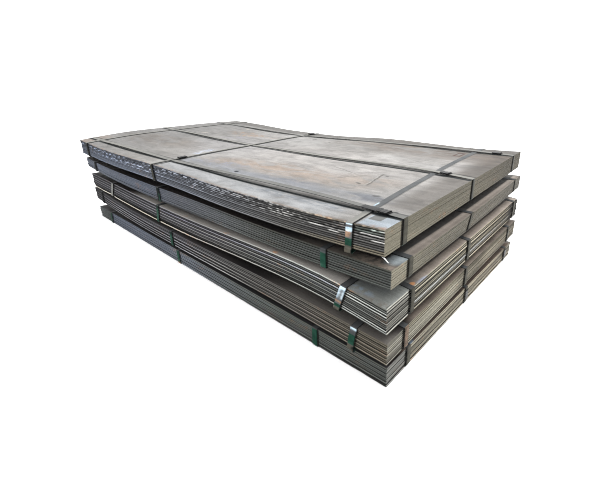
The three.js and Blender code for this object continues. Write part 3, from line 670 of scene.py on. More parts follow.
def paint(i, key, kind, high, s, u):
    """How much green, olive, bright, copper and black a strap shows at each point, and how pale: bright is painted
    highlight, black is partly the strap's own dark paint and partly painted shadow along its edges, and pale is partly
    a painted reflection of the sky on the top runs.
    """
    seed = 6000 + 10 * i + ord(key)
    g = np.zeros(len(u)); ol = g.copy(); br = g.copy(); co = g.copy(); dk = g.copy(); pa = g.copy()
    near, top, end = kind == 1, kind == 2, kind == 3
    wear = noise1(s + 3 * high, 90, seed, 2)
    if key in "def":
        h = high[near]; un = u[near]
        g[near] = 0.95
        g[kind == 0] = 0.6; g[end] = 0.7
        # a painted shadow line along the right edge of the cross strap on the near face
        dk[near] = 0.95 * smooth((un - 0.86) / 0.12)
        # the bright bands below are painted highlights where the strap bends over the top edge
        if (i, key) == (1, "f"):
            g[near] = np.interp(h, [0.08, 0.12, 0.36, 0.44, 1.0], [0.0, 0.98, 0.98, 0.0, 0.0])
            ol[near] = np.interp(h, [-0.20, 0.08, 0.13], [1.0, 1.0, 0.0])
            dk[near] = np.maximum(dk[near], 0.90 * smooth((0.025 - np.abs(h - 0.085)) / 0.02) + 0.5 * (h < -0.02) * (np.sin(un * 9 + h * 90) > 0.3))
            co[near] = np.interp(h, [-0.06, 0.02, 0.38, 0.48, 0.66, 0.74], [0.35, 0, 0, 0.8, 0.8, 0]) * (0.55 + 0.45 * (un < 0.2))
            br[near] = np.clip(np.interp(h, [0.50, 0.64, 0.72, 0.77, 0.83, 0.87, 0.93, 0.965, 1.0], [0.1, 0.2, 0.75, 0.95, 0.80, 0.12, 0.10, 0.9, 0.95])
                               * (0.75 + 0.25 * (np.abs(un) < 0.8)), 0, 1)
        elif (i, key) == (3, "f"):
            g[near] = np.interp(h, [0.02, 0.06, 0.18, 0.25], [0.0, 0.9, 0.9, 0.0])
            ol[near] = np.interp(h, [0.0, 0.06], [1.0, 0.0])
            dk[near] = np.maximum(dk[near], 0.6 * (h < 0.0) * (np.sin(un * 8 + h * 80) > 0.2))
            co[near] = np.interp(h, [0.20, 0.27, 0.36, 0.44], [0, 0.7, 0.7, 0])
            br[near] = np.clip(np.interp(h, [0.34, 0.46, 0.78, 0.88, 0.95, 1.0], [0.1, 0.58, 0.60, 0.70, 0.95, 0.6]) * (1 - 0.4 * smooth((0.45 - np.abs(un + 0.1)) / 0.2) * (h < 0.86)), 0, 1)
        elif (i, key) == (4, "f"):
            br[near] = np.interp(h, [0.80, 0.86, 0.95, 1.0], [0, 0.55, 0.9, 0.6])
            g[near] = np.interp(h, [0.07, 0.11, 0.58, 0.66], [0.0, 1.0, 1.0, 0.35])
            dk[near] = np.maximum(dk[near], 0.55 * np.interp(h, [0.60, 0.66, 0.78, 0.86], [0, 1, 1, 0]))
            ol[near] = np.interp(h, [0.07, 0.12], [1.0, 0.0])
            co[near] = 0.45 * (h < 0.10) * (np.sin(un * 5 + h * 40) > 0.0)
            pa[near] = 0.9 * (h < 0.08) * (np.sin(un * 7 + h * 60) > 0.35)
            dk[near] = np.maximum(dk[near], 0.85 * (h < 0.06) * (np.sin(un * 7 + h * 60) < -0.55))
        elif (i, key) == (2, "f"):
            g[near] = np.interp(h, [0.0, 0.7, 0.85], [1.0, 1.0, 0.3])
            dk[near] = np.maximum(dk[near], 0.6 * np.interp(h, [0.75, 0.9], [0, 1]))
            co[near] = 0.5 * smooth((h - 0.93) / 0.05)
        elif (i, key) == (3, "d"):
            g[near] = 0.0; pa[near] = 0.52; dk[near] = 0.75 * smooth((un - 0.55) / 0.3)
        elif (i, key) == (5, "e"):
            co[near] = np.interp(h, [0.0, 0.3], [0.8, 0.0]); ol[near] = np.interp(h, [0.0, 0.3], [0.6, 0.0])
        elif (i, key) == (1, "e") or (key == "d" and i < 5):
            g[near] = 0.0; ol[near] = 0.9
            dk[near] = 0.98 if key == "d" else np.maximum(0.30, 0.98 * smooth((np.abs(un + 0.1) - 0.42) / 0.25))
        elif (i, key) == (2, "e"):
            dk[near] = np.maximum(0.96 * (un < 0.1), 0.9 * (h > 0.6))
        elif (i, key) in ((3, "e"), (4, "e")):
            dk[near] = np.maximum(dk[near], 0.75 * smooth((h - 0.72) / 0.1))
        elif (i, key) == (5, "d"):
            dk[near] = np.maximum(dk[near], 0.30)
        # on top its right edge, the nearer one, is a painted shadow line
        ut = u[top]
        dk[top] = 0.9 * smooth((ut - 0.72) / 0.2) + 0.6 * smooth((-ut - 0.80) / 0.15)
        g[top] = 0.10
        if i == 1:
            st = s[top]
            # on the top bundle the cross straps' top runs are pale, a painted reflection of the sky
            pa[top] = 0.80
            if key == "e":
                dk[top] = 0.97 * smooth((ut - np.where(st < -600, -0.15, 0.50)) / 0.3)
            if key == "f":
                pa[top] = (0.62 + 0.25 * smooth((ut - 0.2) / 0.3)) * smooth((-625 - st) / 30)
                dk[top] = 0.98 * smooth((ut - 0.86) / 0.12) * smooth((-590 - st) / 30)
                # a short painted highlight along its left edge
                br[top] = 0.9 * smooth((st + 566) / 10) * smooth((-505 - st) / 30) * (ut < -0.25)
                g[top] = 0.0
        else:
            dk[top] = np.maximum(dk[top], 0.3)
    else:
        ue = u[end]
        ol[end] = 0.95
        g[near] = 0.85; g[kind == 0] = 0.5
        # painted shadow: on the end faces the long strap's near edge is dark and its far edge a little darker
        dk[end] = 0.99 * smooth((-ue - 0.58) / 0.22) + 0.35 * smooth((ue - 0.8) / 0.2)
        dk[near] = 0.5
        if key == "a" and i < 4: dk[end] = np.maximum(dk[end], 0.14)
        if i == 1 and key in "bc": dk[end] = 0.99 * smooth((-ue + 0.15) / 0.4); pa[end] = 0.15; ol[end] = 0.6
        if i == 4 and key == "a": co[end] = 0.5
        if i == 5 and key == "a": br[end] = 0.35 * smooth((high[end] - 0.75) / 0.1) * smooth((wear[end] + 0.6))
        ut = u[top]
        g[top] = 0.15 if key == "a" else 0.0
        # painted shadow along the near edge on top, fainter along the far edge
        dk[top] = 0.99 * smooth((-ut - 0.76) / 0.16) + 0.35 * smooth((ut - 0.80) / 0.2)
        if i == 1:
            # pale top runs: a painted reflection of the sky
            pa[top] = {"a": np.interp(s[top], [-900, -200, 400], [0.72, 0.52, 0.38]), "b": 0.80, "c": 0.62}[key]
            if key != "a": dk[top] = 0.90 * smooth((-ut - 0.80) / 0.2) + 0.30 * smooth((ut - 0.85) / 0.15)
        else: dk[top] = np.maximum(dk[top], 0.35)
    return g, ol, br, co, np.clip(dk, 0, 0.99), pa


def band(i, key, P, centre, side, out, high, s, mat):
    n, c = len(P), len(SECTION)
    b = BUNDLES[i]
    V = np.zeros((n, c, 3))
    for j, (w, t) in enumerate(SECTION):
        V[:, j] = centre + side * w + out * t * STRAP_T
    V = V.reshape(-1, 3)
    r = np.arange(n); r2 = (r + 1) % n
    F = []
    for j in range(c):
        j2 = (j + 1) % c
        F += list(zip((r * c + j).tolist(), (r * c + j2).tolist(), (r2 * c + j2).tolist(), (r2 * c + j).tolist()))
    # outward faces whichever way the loop runs
    p0, p1, p2 = V[r * c + 5], V[r * c + 6], V[r2 * c + 6]
    turn = np.cross(p1 - p0, p2 - p1)
    if (turn * out).sum() < 0:
        F = [f[::-1] for f in F]
    u = np.tile([w / 16.0 for w, t in SECTION], n)
    kind = np.repeat(P[:, 4], c); hi = np.repeat(high, c); ss = np.repeat(s, c)
    g, ol, br, co, dk, pa = paint(i, key, kind, hi, ss, u)
    # painted shade on the strap's underside
    underside_shade = np.tile([1 if t < 0.2 else 0 for w, t in SECTION], n)
    A = dict(green=g, olive=ol, bright=br, copper=co, dark=np.maximum(dk, underside_shade * 0.6), pale=pa, along=ss * 0.001, across=u)
    name = "bundle_%d_%s_strap_%s" % (i, "cross" if key in "def" else "long", key)
    ob = make_object("strapping_%d%s" % (i, key), place(b, V), F, [mat], A, smooth_angle=50)
    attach(ob, "root")
    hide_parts(name)
    return ob


def frames(P, side_slope, axis):
    """Width direction and outward normal at each row; axis 0 for a strap along x, 1 for one along y."""
    n = len(P)
    if axis == 1:
        side = np.stack([np.ones(n), np.zeros(n), side_slope], 1)
        out = np.stack([np.zeros(n), P[:, 2], P[:, 3]], 1)
    else:
        side = np.stack([np.zeros(n), np.ones(n), side_slope], 1)
        out = np.stack([P[:, 2], np.zeros(n), P[:, 3]], 1)
    side /= np.linalg.norm(side, axis=1)[:, None]
    out = out - side * (out * side).sum(1)[:, None]
    out /= np.linalg.norm(out, axis=1)[:, None]
    return side, out


SLIP = {(3, "f"): 4.5, (4, "f"): 3.0}
LEAN_END = {(2, "b"): 34.0}
LEAN = {(3, "f"): 35.0, (1, "f"): 5.0, (1, "e"): -14.0, (5, "d"): 14.0, (2, "d"): 4.0, (4, "f"): 16.0, (3, "d"): 62.0, (3, "e"): 26.0}
DROOP = {(1, "f"): 17.0, (4, "f"): 19.0, (3, "f"): 10.0, (5, "e"): 0.0}
BULGE = {(1, "f"): 0.5, (3, "f"): 3.0, (4, "f"): 3.0, (2, "f"): 1.0, (5, "f"): 0.5}


def cross_strap(i, key, mat):
    b = BUNDLES[i]
    H = b["height"]
    lift = CLEAR if key == "f" else LIFT
    def at(y, o):
        yy = np.clip(y, -750, 750)
        x = cross_x(b, key, yy)
        return under(b, x, yy) + o + (loose(b, x, yy) if o > 0 else -sag(b, x, yy))
    P = wrap(-(750 + OUT[0] + CLEAR), 750 + OUT[2] + CLEAR, lambda y: at(y, H + lift), lambda y: at(y, -LIFT),
             72, 26, 14, bulge_lo=BULGE.get((i, key), 0.3), bulge_hi=0.3, droop=DROOP.get((i, key), 0.0))
    y, z, kind = P[:, 0], P[:, 1], P[:, 4]
    yc = np.clip(y, -750, 750)
    x = cross_x(b, key, yc)
    high = (z - under(b, x, yc)) / (H + loose(b, x, yc))
    if (i, key) in DROOP: x = x - 4.0 * np.exp(-((high + 0.12) / 0.10) ** 2) * (kind == 1)
    lean, move = LEAN.get((i, key), 0.0), SLIP.get((i, key), 0.0)
    if lean or move:
        fade = smooth(1 - (y + 750) / 420)
        x = x + (lean * (np.clip(high, 0, 1) - 0.5) + move) * np.where(kind == 1, 1.0, fade)
    slope = (under(b, x + 16, yc) - under(b, x - 16, yc)) / 32.0
    side, out = frames(P, slope, 1)
    if (i, key) == (4, "f"):                    # its loose lower end is twisted
        tw = smooth(0.16 - high) * np.exp(-((y + 750) / 60) ** 2) * 2.2
        side = side + out * (0.35 * tw * np.sin(z / 3.0))[:, None]
        side /= np.linalg.norm(side, axis=1)[:, None]
    centre = np.stack([x, y, z], 1)
    PATHS[(i, key)] = (P, centre, side, out)
    return band(i, key, P, centre, side, out, np.clip(high, -0.3, 1.05), y, mat)


def taut(i, key):
    """Height of a long strap's underside over the bundle: taut over the dips, held down by the
    straps that cross over it, and on the plates at its ends."""
    b = BUNDLES[i]
    H = b["height"]
    xs = np.arange(-1496, 1497, 4.0)
    ys = long_y(b, key, xs)
    base = under(b, xs, ys) + H + loose(b, xs, ys) + CLEAR
    over = base.copy()
    xf = float(cross_x(b, "f", float(long_y(b, key, 1300.0))))
    xd = float(cross_x(b, "d", float(long_y(b, key, -1300.0))))
    xe = float(cross_x(b, "e", float(long_y(b, key, -200.0))))
    over[np.abs(xs - xf) < 18] += STRAP_T + CLEAR
    z = base.copy()
    for x0, x1 in ((-1496, xd - 20), (xd + 20, xe - 20), (xe + 20, 1496)):
        m = (xs >= x0) & (xs <= x1)
        st = []
        for a, c in zip(xs[m], over[m]):
            while len(st) >= 2 and (st[-1][0] - st[-2][0]) * (c - st[-2][1]) - (st[-1][1] - st[-2][1]) * (a - st[-2][0]) >= 0:
                st.pop()
            st.append((a, c))
        st = np.array(st)
        z[m] = np.interp(xs[m], st[:, 0], st[:, 1])
    k = np.array([1, 2, 3, 2, 1.0]); k /= k.sum()
    for _ in range(2):
        zz = z.copy(); zz[2:-2] = np.convolve(z, k, "valid"); z = np.maximum(zz, base)
    return xs, z


def long_strap(i, key, mat):
    b = BUNDLES[i]
    H = b["height"]
    xs, zt = taut(i, key)
    off = 1.1 if i == 5 and key in "bc" else 0.0
    def top(x): return np.interp(x, xs, zt)
    def bottom(x):
        xx = np.clip(x, -1500, 1500)
        yy = long_y(b, key, xx)
        return under(b, xx, yy) - sag(b, xx, yy) - CLEAR
    hi, lo = 1500 + OUT[1] + CLEAR, -(1500 + OUT[3] + CLEAR)
    s_top = np.unique(np.concatenate([np.linspace(lo + 3.2, hi - 3.2, 96), np.linspace(1150, hi - 3.2, 30)]))
    P = wrap(lo, hi, top, bottom, s_top, 40, 12, bulge_lo=0.0, bulge_hi=0.0 if i in (1, 4) else 0.8, off_hi=off)
    x, z = P[:, 0], P[:, 1]
    xc = np.clip(x, -1500, 1500)
    y = long_y(b, key, xc)
    high = np.clip((z - under(b, xc, y)) / H, 0, 1.05)
    y = y + LEAN_END.get((i, key), 0.0) * (np.clip(high, 0, 1) - 1) * np.where(P[:, 4] == 3, 1.0, smooth(1 - (1500 - x) / 420))
    slope = (under(b, xc, y + 16) - under(b, xc, y - 16)) / 32.0
    side, out = frames(P, slope, 0)
    centre = np.stack([x, y, z], 1)
    PATHS[(i, key)] = (P, centre, side, out)
    return band(i, key, P, centre, side, out, high, x, mat)


# ---- seals -----------------------------------------------------------------------------
def seal(node, i, key, kind, at, tail, mat, seed, tall=1.2, back=0, tone=0.0):
    """A crimped sleeve over two layers of strap, with the end of one of them left standing out."""
    P, centre, side, out = PATHS[(i, key)]
    m = P[:, 4] == kind
    coord = centre[m][:, 2] if kind in (1, 3) else P[m][:, 0]
    order = np.argsort(coord)
    coord = coord[order]
    def pick(arr, t):
        return np.stack([np.interp(t, coord, arr[m][order][:, j]) for j in range(3)], -1)
    a0, a1 = pick(centre, at - 22), pick(centre, at + 22)
    d = (a1 - a0) / np.linalg.norm(a1 - a0)
    o = pick(out, at); o = o - d * (o @ d); o /= np.linalg.norm(o)
    w = np.cross(o, d)
    c = pick(centre, at)
    V, F, A = [], [], []
    prof = [(-1.0, 0.15), (-1.03, 0.6), (-0.97, 0.93), (-0.8, 1.0), (-0.4, 1.04), (0, 1.06), (0.4, 1.04), (0.8, 1.0), (0.97, 0.93), (1.03, 0.6),
            (1.0, 0.15), (0.9, 0.0), (0.0, 0.0), (-0.9, 0.0)]
    T = np.linspace(-23, 23, 25)
    nt, npf = len(T), len(prof)
    for a, t in enumerate(T):
        notch = max(math.exp(-((t - 9) / 2.6) ** 2), math.exp(-((t + 9) / 2.6) ** 2))
        flare = smooth((abs(t) - 19) / 4)
        for q, (pw, ph) in enumerate(prof):
            wob = float(noise2(np.array([t * 1.0]), np.array([pw * 14.0]), 9.0, seed, 2)[0])
            W = 17.2 * pw * (1 - 0.17 * notch + 0.02 * flare)
            Hh = 3.3 * tall * ph * (1 + 0.12 * float(flare)) - (1.3 * notch * (0.5 + 0.5 * abs(pw)) if ph > 0.5 else 0)
            Hh = max(Hh + (0.28 * wob if ph > 0.5 else 0), -0.2)
            V.append(c + d * t + w * W + o * (Hh - 0.15 if ph < 0.1 else Hh))
            # tone paints shade: darker in the crimp notches, towards the + end and along one side
            A.append(0.6 + tone + 0.5 * wob - 0.5 * notch - 0.5 * smooth((t - 17) / 5) - (0.35 if pw < -0.9 else 0))
    for a in range(nt - 1):
        for q in range(npf):
            q2 = (q + 1) % npf
            F.append((a * npf + q, a * npf + q2, (a + 1) * npf + q2, (a + 1) * npf + q))
    F.append(tuple(range(npf - 1, -1, -1)))
    F.append(tuple((nt - 1) * npf + q for q in range(npf)))
    for tail, lift in ((tail, 1.2), (-back, 0.9)):
        if not tail: continue
        sgn = 1 if tail > 0 else -1
        L = abs(tail)
        base = len(V)
        st = np.linspace(18, 23 + L, 9)
        for a, t in enumerate(st):
            rise = lift + (0.9 * tall * (max(t - 23, 0) / L) ** 1.5 * min(L / 10, 1.4) if L < 40 else 0.5 * math.exp(-((t - 45) / 25) ** 2))
            mid = pick(centre, at + sgn * t)
            cut = 0.0
            for q, (pw, ph) in enumerate([(-1, 0), (1, 0), (1, 1), (0, 1), (-1, 1)]):
                tt = t - (2.5 if a == len(st) - 1 and pw > 0 else 0)
                V.append((c + d * sgn * tt if L < 40 else mid) + w * pw * 15.8 + o * (rise + 1.0 * ph))
                # the tail is painted lighter on top and dark below and at its cut end, as painted light and shade
                A.append((0.42 if ph and pw > -1 else 0.05) + tone - (0.3 if t > 20 + L - 3 else 0))
        for a in range(len(st) - 1):
            for q in range(5):
                q2 = (q + 1) % 5
                F.append((base + a * 5 + q, base + a * 5 + q2, base + (a + 1) * 5 + q2, base + (a + 1) * 5 + q))
        F.append(tuple(base + q for q in range(4, -1, -1)))
        F.append(tuple(base + (len(st) - 1) * 5 + q for q in range(5)))
    ob = make_object("seal_" + node.replace("bundle_", "b").replace("_seal", ""), place(BUNDLES[i], np.array(V)), F, [mat],
                     dict(tone=np.array(A)), smooth_angle=35)
    import bmesh
    bm = bmesh.new(); bm.from_mesh(ob.data)
    bmesh.ops.recalc_face_normals(bm, faces=bm.faces)
    bm.to_mesh(ob.data); bm.free()
    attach(ob, "root")
    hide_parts(node)
    return ob


def corner_sliver(mat):
    """The bright bent sliver of steel that sticks out under the top bundle's near corner."""
    b = BUNDLES[1]
    z0 = float(under(b, 1499.0, -749.0))
    line = [(1486, -741, z0 - 0.6), (1493, -744, z0 - 1.2), (1500, -745, z0 - 4.0), (1505, -744, z0 - 8.5), (1510, -742, z0 - 14.0), (1514, -741, z0 - 18.0)]
    V, F, A = [], [], []
    for a, (x, y, z) in enumerate(line):
        ww = [3.0, 3.0, 2.4, 2.0, 1.6, 1.0][a]
        for du, dz in ((-1, -0.5), (1, -0.5), (1, 0.5), (-1, 0.5)):
            V.append((x + 0.3 * du * ww, y + du * ww * 0.9, z + dz * 1.3 + (0.4 if a % 2 else 0)))
            A.append(1.0)
    for a in range(len(line) - 1):
        for q in range(4):
            F.append((a * 4 + q, a * 4 + (q + 1) % 4, (a + 1) * 4 + (q + 1) % 4, (a + 1) * 4 + q))
    F.append((3, 2, 1, 0)); F.append(tuple((len(line) - 1) * 4 + q for q in range(4)))
    ob = make_object("bundle_1_corner_sliver", place(b, np.array(V)), F, [mat], dict(tone=np.array(A)), smooth_angle=40)
    import bmesh
    bm = bmesh.new(); bm.from_mesh(ob.data)
    bmesh.ops.recalc_face_normals(bm, faces=bm.faces)
    bm.to_mesh(ob.data); bm.free()
    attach(ob, "root")
    return ob


# ---- materials (first pass) ------------------------------------------------------------
class Net:
    """A short way to write shader nodes."""

    def __init__(self, name):
        self.mat = bpy.data.materials.new(name)
        self.mat.use_nodes = True
        self.t = self.mat.node_tree
        self.t.nodes.clear()
        self.out = self.t.nodes.new("ShaderNodeOutputMaterial")
        self.bsdf = self.t.nodes.new("ShaderNodeBsdfPrincipled")
        self.t.links.new(self.bsdf.outputs[0], self.out.inputs[0])
        self._obj = None

    def node(self, kind, **props):
        n = self.t.nodes.new(kind)
        for k, v in props.items():
            setattr(n, k, v)
        return n

    def put(self, socket, value):
        if isinstance(value, bpy.types.NodeSocket):
            self.t.links.new(value, socket)
        elif value is not None:
            if socket.type == "RGBA" and hasattr(value, "__len__") and len(value) == 3:
                value = (*value, 1.0)
            socket.default_value = value
        return self

    def obj(self):
        if self._obj is None:
            self._obj = self.node("ShaderNodeTexCoord").outputs["Object"]
        return self._obj

    def mapped(self, scale=(1, 1, 1), loc=(0, 0, 0), rot=(0, 0, 0), vec=None):
        n = self.node("ShaderNodeMapping")
        self.put(n.inputs["Vector"], vec or self.obj())
        n.inputs["Scale"].default_value = scale
        n.inputs["Location"].default_value = loc
        n.inputs["Rotation"].default_value = rot
        return n.outputs[0]

    def noise(self, scale, detail=3, rough=0.55, vec=None, distort=0.0, out=0):
        n = self.node("ShaderNodeTexNoise")
        self.put(n.inputs["Vector"], vec or self.obj())
        n.inputs["Scale"].default_value = scale
        n.inputs["Detail"].default_value = detail
        n.inputs["Roughness"].default_value = rough
        n.inputs["Distortion"].default_value = distort
        return n.outputs[out]

    def voronoi(self, scale, vec=None, feature="F1", rand=1.0):
        n = self.node("ShaderNodeTexVoronoi", feature=feature)
        self.put(n.inputs["Vector"], vec or self.obj())
        n.inputs["Scale"].default_value = scale
        n.inputs["Randomness"].default_value = rand
        return n.outputs["Distance"]

    def math(self, op, a, b=None, c=None, clamp=False):
        n = self.node("ShaderNodeMath", operation=op, use_clamp=clamp)
        self.put(n.inputs[0], a)
        if b is not None: self.put(n.inputs[1], b)
        if c is not None: self.put(n.inputs[2], c)
        return n.outputs[0]

    def ramp(self, fac, stops, mode="LINEAR"):
        n = self.node("ShaderNodeValToRGB")
        self.put(n.inputs[0], fac)
        n.color_ramp.interpolation = mode
        els = n.color_ramp.elements
        while len(els) > 1:
            els.remove(els[-1])
        first = True
        for p, c in stops:
            if not hasattr(c, "__len__"): c = (c, c, c)
            e = els[0] if first else els.new(p)
            e.position = p
            e.color = (*c, 1.0)
            first = False
        return n.outputs[0]

    def range(self, v, a, b, lo=0.0, hi=1.0, smooth=True):
        n = self.node("ShaderNodeMapRange")
        n.interpolation_type = "SMOOTHSTEP" if smooth else "LINEAR"
        n.clamp = True
        self.put(n.inputs["Value"], v)
        n.inputs["From Min"].default_value = a
        n.inputs["From Max"].default_value = b
        n.inputs["To Min"].default_value = lo
        n.inputs["To Max"].default_value = hi
        return n.outputs[0]

    def mix(self, fac, a, b, mode="MIX"):
        n = self.node("ShaderNodeMix", data_type="RGBA", blend_type=mode)
        self.put(n.inputs[0], fac)
        self.put(n.inputs[6], a)
        self.put(n.inputs[7], b)
        return n.outputs[2]

    def mixf(self, fac, a, b):
        n = self.node("ShaderNodeMix", data_type="FLOAT")
        self.put(n.inputs[0], fac)
        self.put(n.inputs[2], a)
        self.put(n.inputs[3], b)
        return n.outputs[0]

    def attr(self, name):
        return self.node("ShaderNodeAttribute", attribute_name=name, attribute_type="GEOMETRY").outputs["Fac"]

    def xyz(self, vec):
        n = self.node("ShaderNodeSeparateXYZ")
        self.put(n.inputs[0], vec)
        return n.outputs

    def bump(self, height, strength=0.3, distance=0.001, normal=None):
        n = self.node("ShaderNodeBump")
        n.inputs["Strength"].default_value = strength
        n.inputs["Distance"].default_value = distance
        self.put(n.inputs["Height"], height)
        if normal is not None: self.put(n.inputs["Normal"], normal)
        return n.outputs[0]

    def set(self, **kw):
        for k, v in kw.items():
            self.put(self.bsdf.inputs[k.replace("_", " ")], v)
        return self


    def blob(self, p, cx, cy, rx, ry, deg=0.0, soft=0.5):
        """1 inside an ellipse on the x-y plane, fading to 0 round its rim."""
        n = self.node("ShaderNodeMapping", vector_type="TEXTURE")
        self.put(n.inputs["Vector"], p)
        n.inputs["Location"].default_value = (cx, cy, 0)
        n.inputs["Rotation"].default_value = (0, 0, math.radians(deg))
        n.inputs["Scale"].default_value = (rx, ry, 1e4)
        l = self.node("ShaderNodeVectorMath", operation="LENGTH")
        self.put(l.inputs[0], n.outputs[0])
        return self.range(l.outputs["Value"], 1 + soft, 1 - soft)

    def line(self, p, x0, y0, x1, y1, half, soft=0.6, ends=0.12):
        """1 along a straight stroke on the x-y plane."""
        n = self.node("ShaderNodeMapping", vector_type="TEXTURE")
        L = math.hypot(x1 - x0, y1 - y0)
        self.put(n.inputs["Vector"], p)
        n.inputs["Location"].default_value = ((x0 + x1) / 2, (y0 + y1) / 2, 0)
        n.inputs["Rotation"].default_value = (0, 0, math.atan2(y1 - y0, x1 - x0))
        n.inputs["Scale"].default_value = (L / 2, half, 1e4)
        q = self.xyz(n.outputs[0])
        a = self.range(self.math("ABSOLUTE", q[0]), 1.0, 1.0 - ends * 2)
        c = self.range(self.math("ABSOLUTE", q[1]), 1 + soft, max(1 - soft, 0))
        return self.math("MULTIPLY", a, c)

    def off_line(self, q, pts, along_x):
        """How far, in metres, a place is to the side of a nearly straight line of points that runs along x (or along y)."""
        ts, vs = [v[0 if along_x else 1] for v in pts], [v[1 if along_x else 0] for v in pts]
        t0, t1, v0, v1 = min(ts) - 0.02, max(ts) + 0.02, min(vs) - 0.02, max(vs) + 0.02
        n = self.node("ShaderNodeFloatCurve")
        self.put(n.inputs["Value"], self.range(q[0 if along_x else 1], t0, t1, smooth=False))
        c = n.mapping.curves[0]
        for j, (t, v) in enumerate(zip(ts, vs)):
            at = ((t - t0) / (t1 - t0), (v - v0) / (v1 - v0))
            if j == 0: c.points[0].location = at
            elif j == len(ts) - 1: c.points[len(c.points) - 1].location = at
            else: c.points.new(*at)
        n.mapping.update()
        return self.math("SUBTRACT", q[1 if along_x else 0], self.math("MULTIPLY_ADD", n.outputs[0], v1 - v0, v0))

    def warp(self, amount, scale, p=None):
        n = self.node("ShaderNodeTexNoise")
        self.put(n.inputs["Vector"], p or self.obj())
        n.inputs["Scale"].default_value = scale
        n.inputs["Detail"].default_value = 3
        s = self.node("ShaderNodeVectorMath", operation="SUBTRACT")
        self.put(s.inputs[0], n.outputs["Color"]); s.inputs[1].default_value = (0.5, 0.5, 0.5)
        k = self.node("ShaderNodeVectorMath", operation="SCALE")
        self.put(k.inputs[0], s.outputs[0]); k.inputs["Scale"].default_value = amount
        o = self.node("ShaderNodeVectorMath", operation="ADD")
        self.put(o.inputs[0], p or self.obj()); self.put(o.inputs[1], k.outputs[0])
        return o.outputs[0]

    def times(self, a, b, clamp=False):
        return self.math("MULTIPLY", a, b, clamp=clamp)

    def over(self, col, mask, colour, strength=1.0):
        if strength != 1.0:
            mask = self.times(mask, strength)
        return self.mix(mask, col, colour)


def edge_material(i):
    """The plates' edges: sheared or torn steel, with what the mesh says of each place along it."""
    m = Net("plate_edges_%d" % i)
    lum, warm, green, bare_and_glint = m.attr("lum"), m.attr("warm"), m.attr("green"), m.attr("bare_and_glint")
    tint = m.mix(m.math("MAXIMUM", warm, 0.0), (1.0, 0.985, 0.955), (1.15, 0.995, 0.715))
    # the cold tint, strongest towards the left ends of the near sides, is partly a painted reflection of the sky and
    # partly the steel's own tint
    tint = m.mix(m.math("MAXIMUM", m.times(warm, -1.0), 0.0), tint, (0.94, 0.93, 1.14) if i in (3, 4) else (0.80, 0.95, 1.30))
    tint = m.mix(m.times(green, 0.8), tint, (0.86, 1.04, 0.93))
    o = m.xyz(m.obj())
    lay = m.node("ShaderNodeCombineXYZ")
    m.put(lay.inputs[0], o[0]); m.put(lay.inputs[1], o[1]); m.put(lay.inputs[2], m.attr("lay"))
    fine = m.noise(1.0, 4, 0.65, m.mapped((60, 60, 520), (1.7 * i, 0, 0), vec=lay.outputs[0]))
    streak = m.noise(1.0, 3, 0.6, m.mapped((2.4, 2.4, 300), (0, 3.1 * i, 0), vec=lay.outputs[0]))
    grain = m.noise(420, 2, 0.6)
    k = m.math("ADD", m.times(fine, 0.9), m.times(streak, 0.7))
    k = m.math("ADD", k, m.times(grain, 0.35))
    k = m.range(k, 0.62, 1.32, 0.55, 1.5, smooth=False)
    # the dashes are torn steel with a painted glint: they lift the colour here, and below they make the edge more
    # metallic and glossier
    k = m.mixf(m.times(bare_and_glint, 0.8), k, 1.0)
    col = m.mix(1.0, tint, m.times(lum, k), "MULTIPLY")
    # rust that has bled over some of the edges
    r = m.noise(1.0, 5, 0.6, m.mapped((5, 5, 26), (4.0, 2.0 * i, 1)))
    r2 = m.noise(46, 3, 0.6)
    rm = m.times(m.range(r, 0.56, 0.74), m.range(r2, 0.42, 0.60))
    col = m.mix(m.times(m.times(rm, 0.55), m.math("SUBTRACT", 1.0, bare_and_glint)), col,
                m.mix(1.0, (2.2, 1.25, 0.70), m.times(lum, k), "MULTIPLY"))
    b1 = m.bump(m.math("ADD", m.times(fine, 0.7), m.times(grain, 0.3)), 0.5, 0.0016)
    m.set(Base_Color=col, Metallic=m.mixf(bare_and_glint, m.range(streak, 0.4, 0.7, 0.01, 0.08 if i > 2 else 0.14), 0.40),
          Roughness=m.mixf(bare_and_glint, m.range(fine, 0.35, 0.65, 0.62, 0.42), 0.38), Normal=b1)
    m.bsdf.inputs["Specular IOR Level"].default_value = {1: 0.05, 2: 0.08, 5: 0.06}.get(i, 0.02)
    return m.mat


def inner_face_material():
    """Mill scale on the plates' faces inside a bundle, only seen where they stand out."""
    m = Net("mill_scale_inside")
    c = m.noise(9, 5, 0.6, m.mapped((0.4, 2.0, 1)))
    g = m.noise(160, 3, 0.6)
    col = m.ramp(c, [(0.3, (0.022, 0.021, 0.021)), (0.55, (0.038, 0.036, 0.035)), (0.75, (0.06, 0.048, 0.038))])
    col = m.mix(0.4, col, m.ramp(g, [(0.3, 0.012), (0.7, 0.05)]))
    m.set(Base_Color=col, Metallic=0.15, Roughness=m.range(g, 0.3, 0.7, 0.45, 0.7), Normal=m.bump(g, 0.25, 0.0008))
    m.bsdf.inputs["Specular IOR Level"].default_value = 0.18
    return m.mat


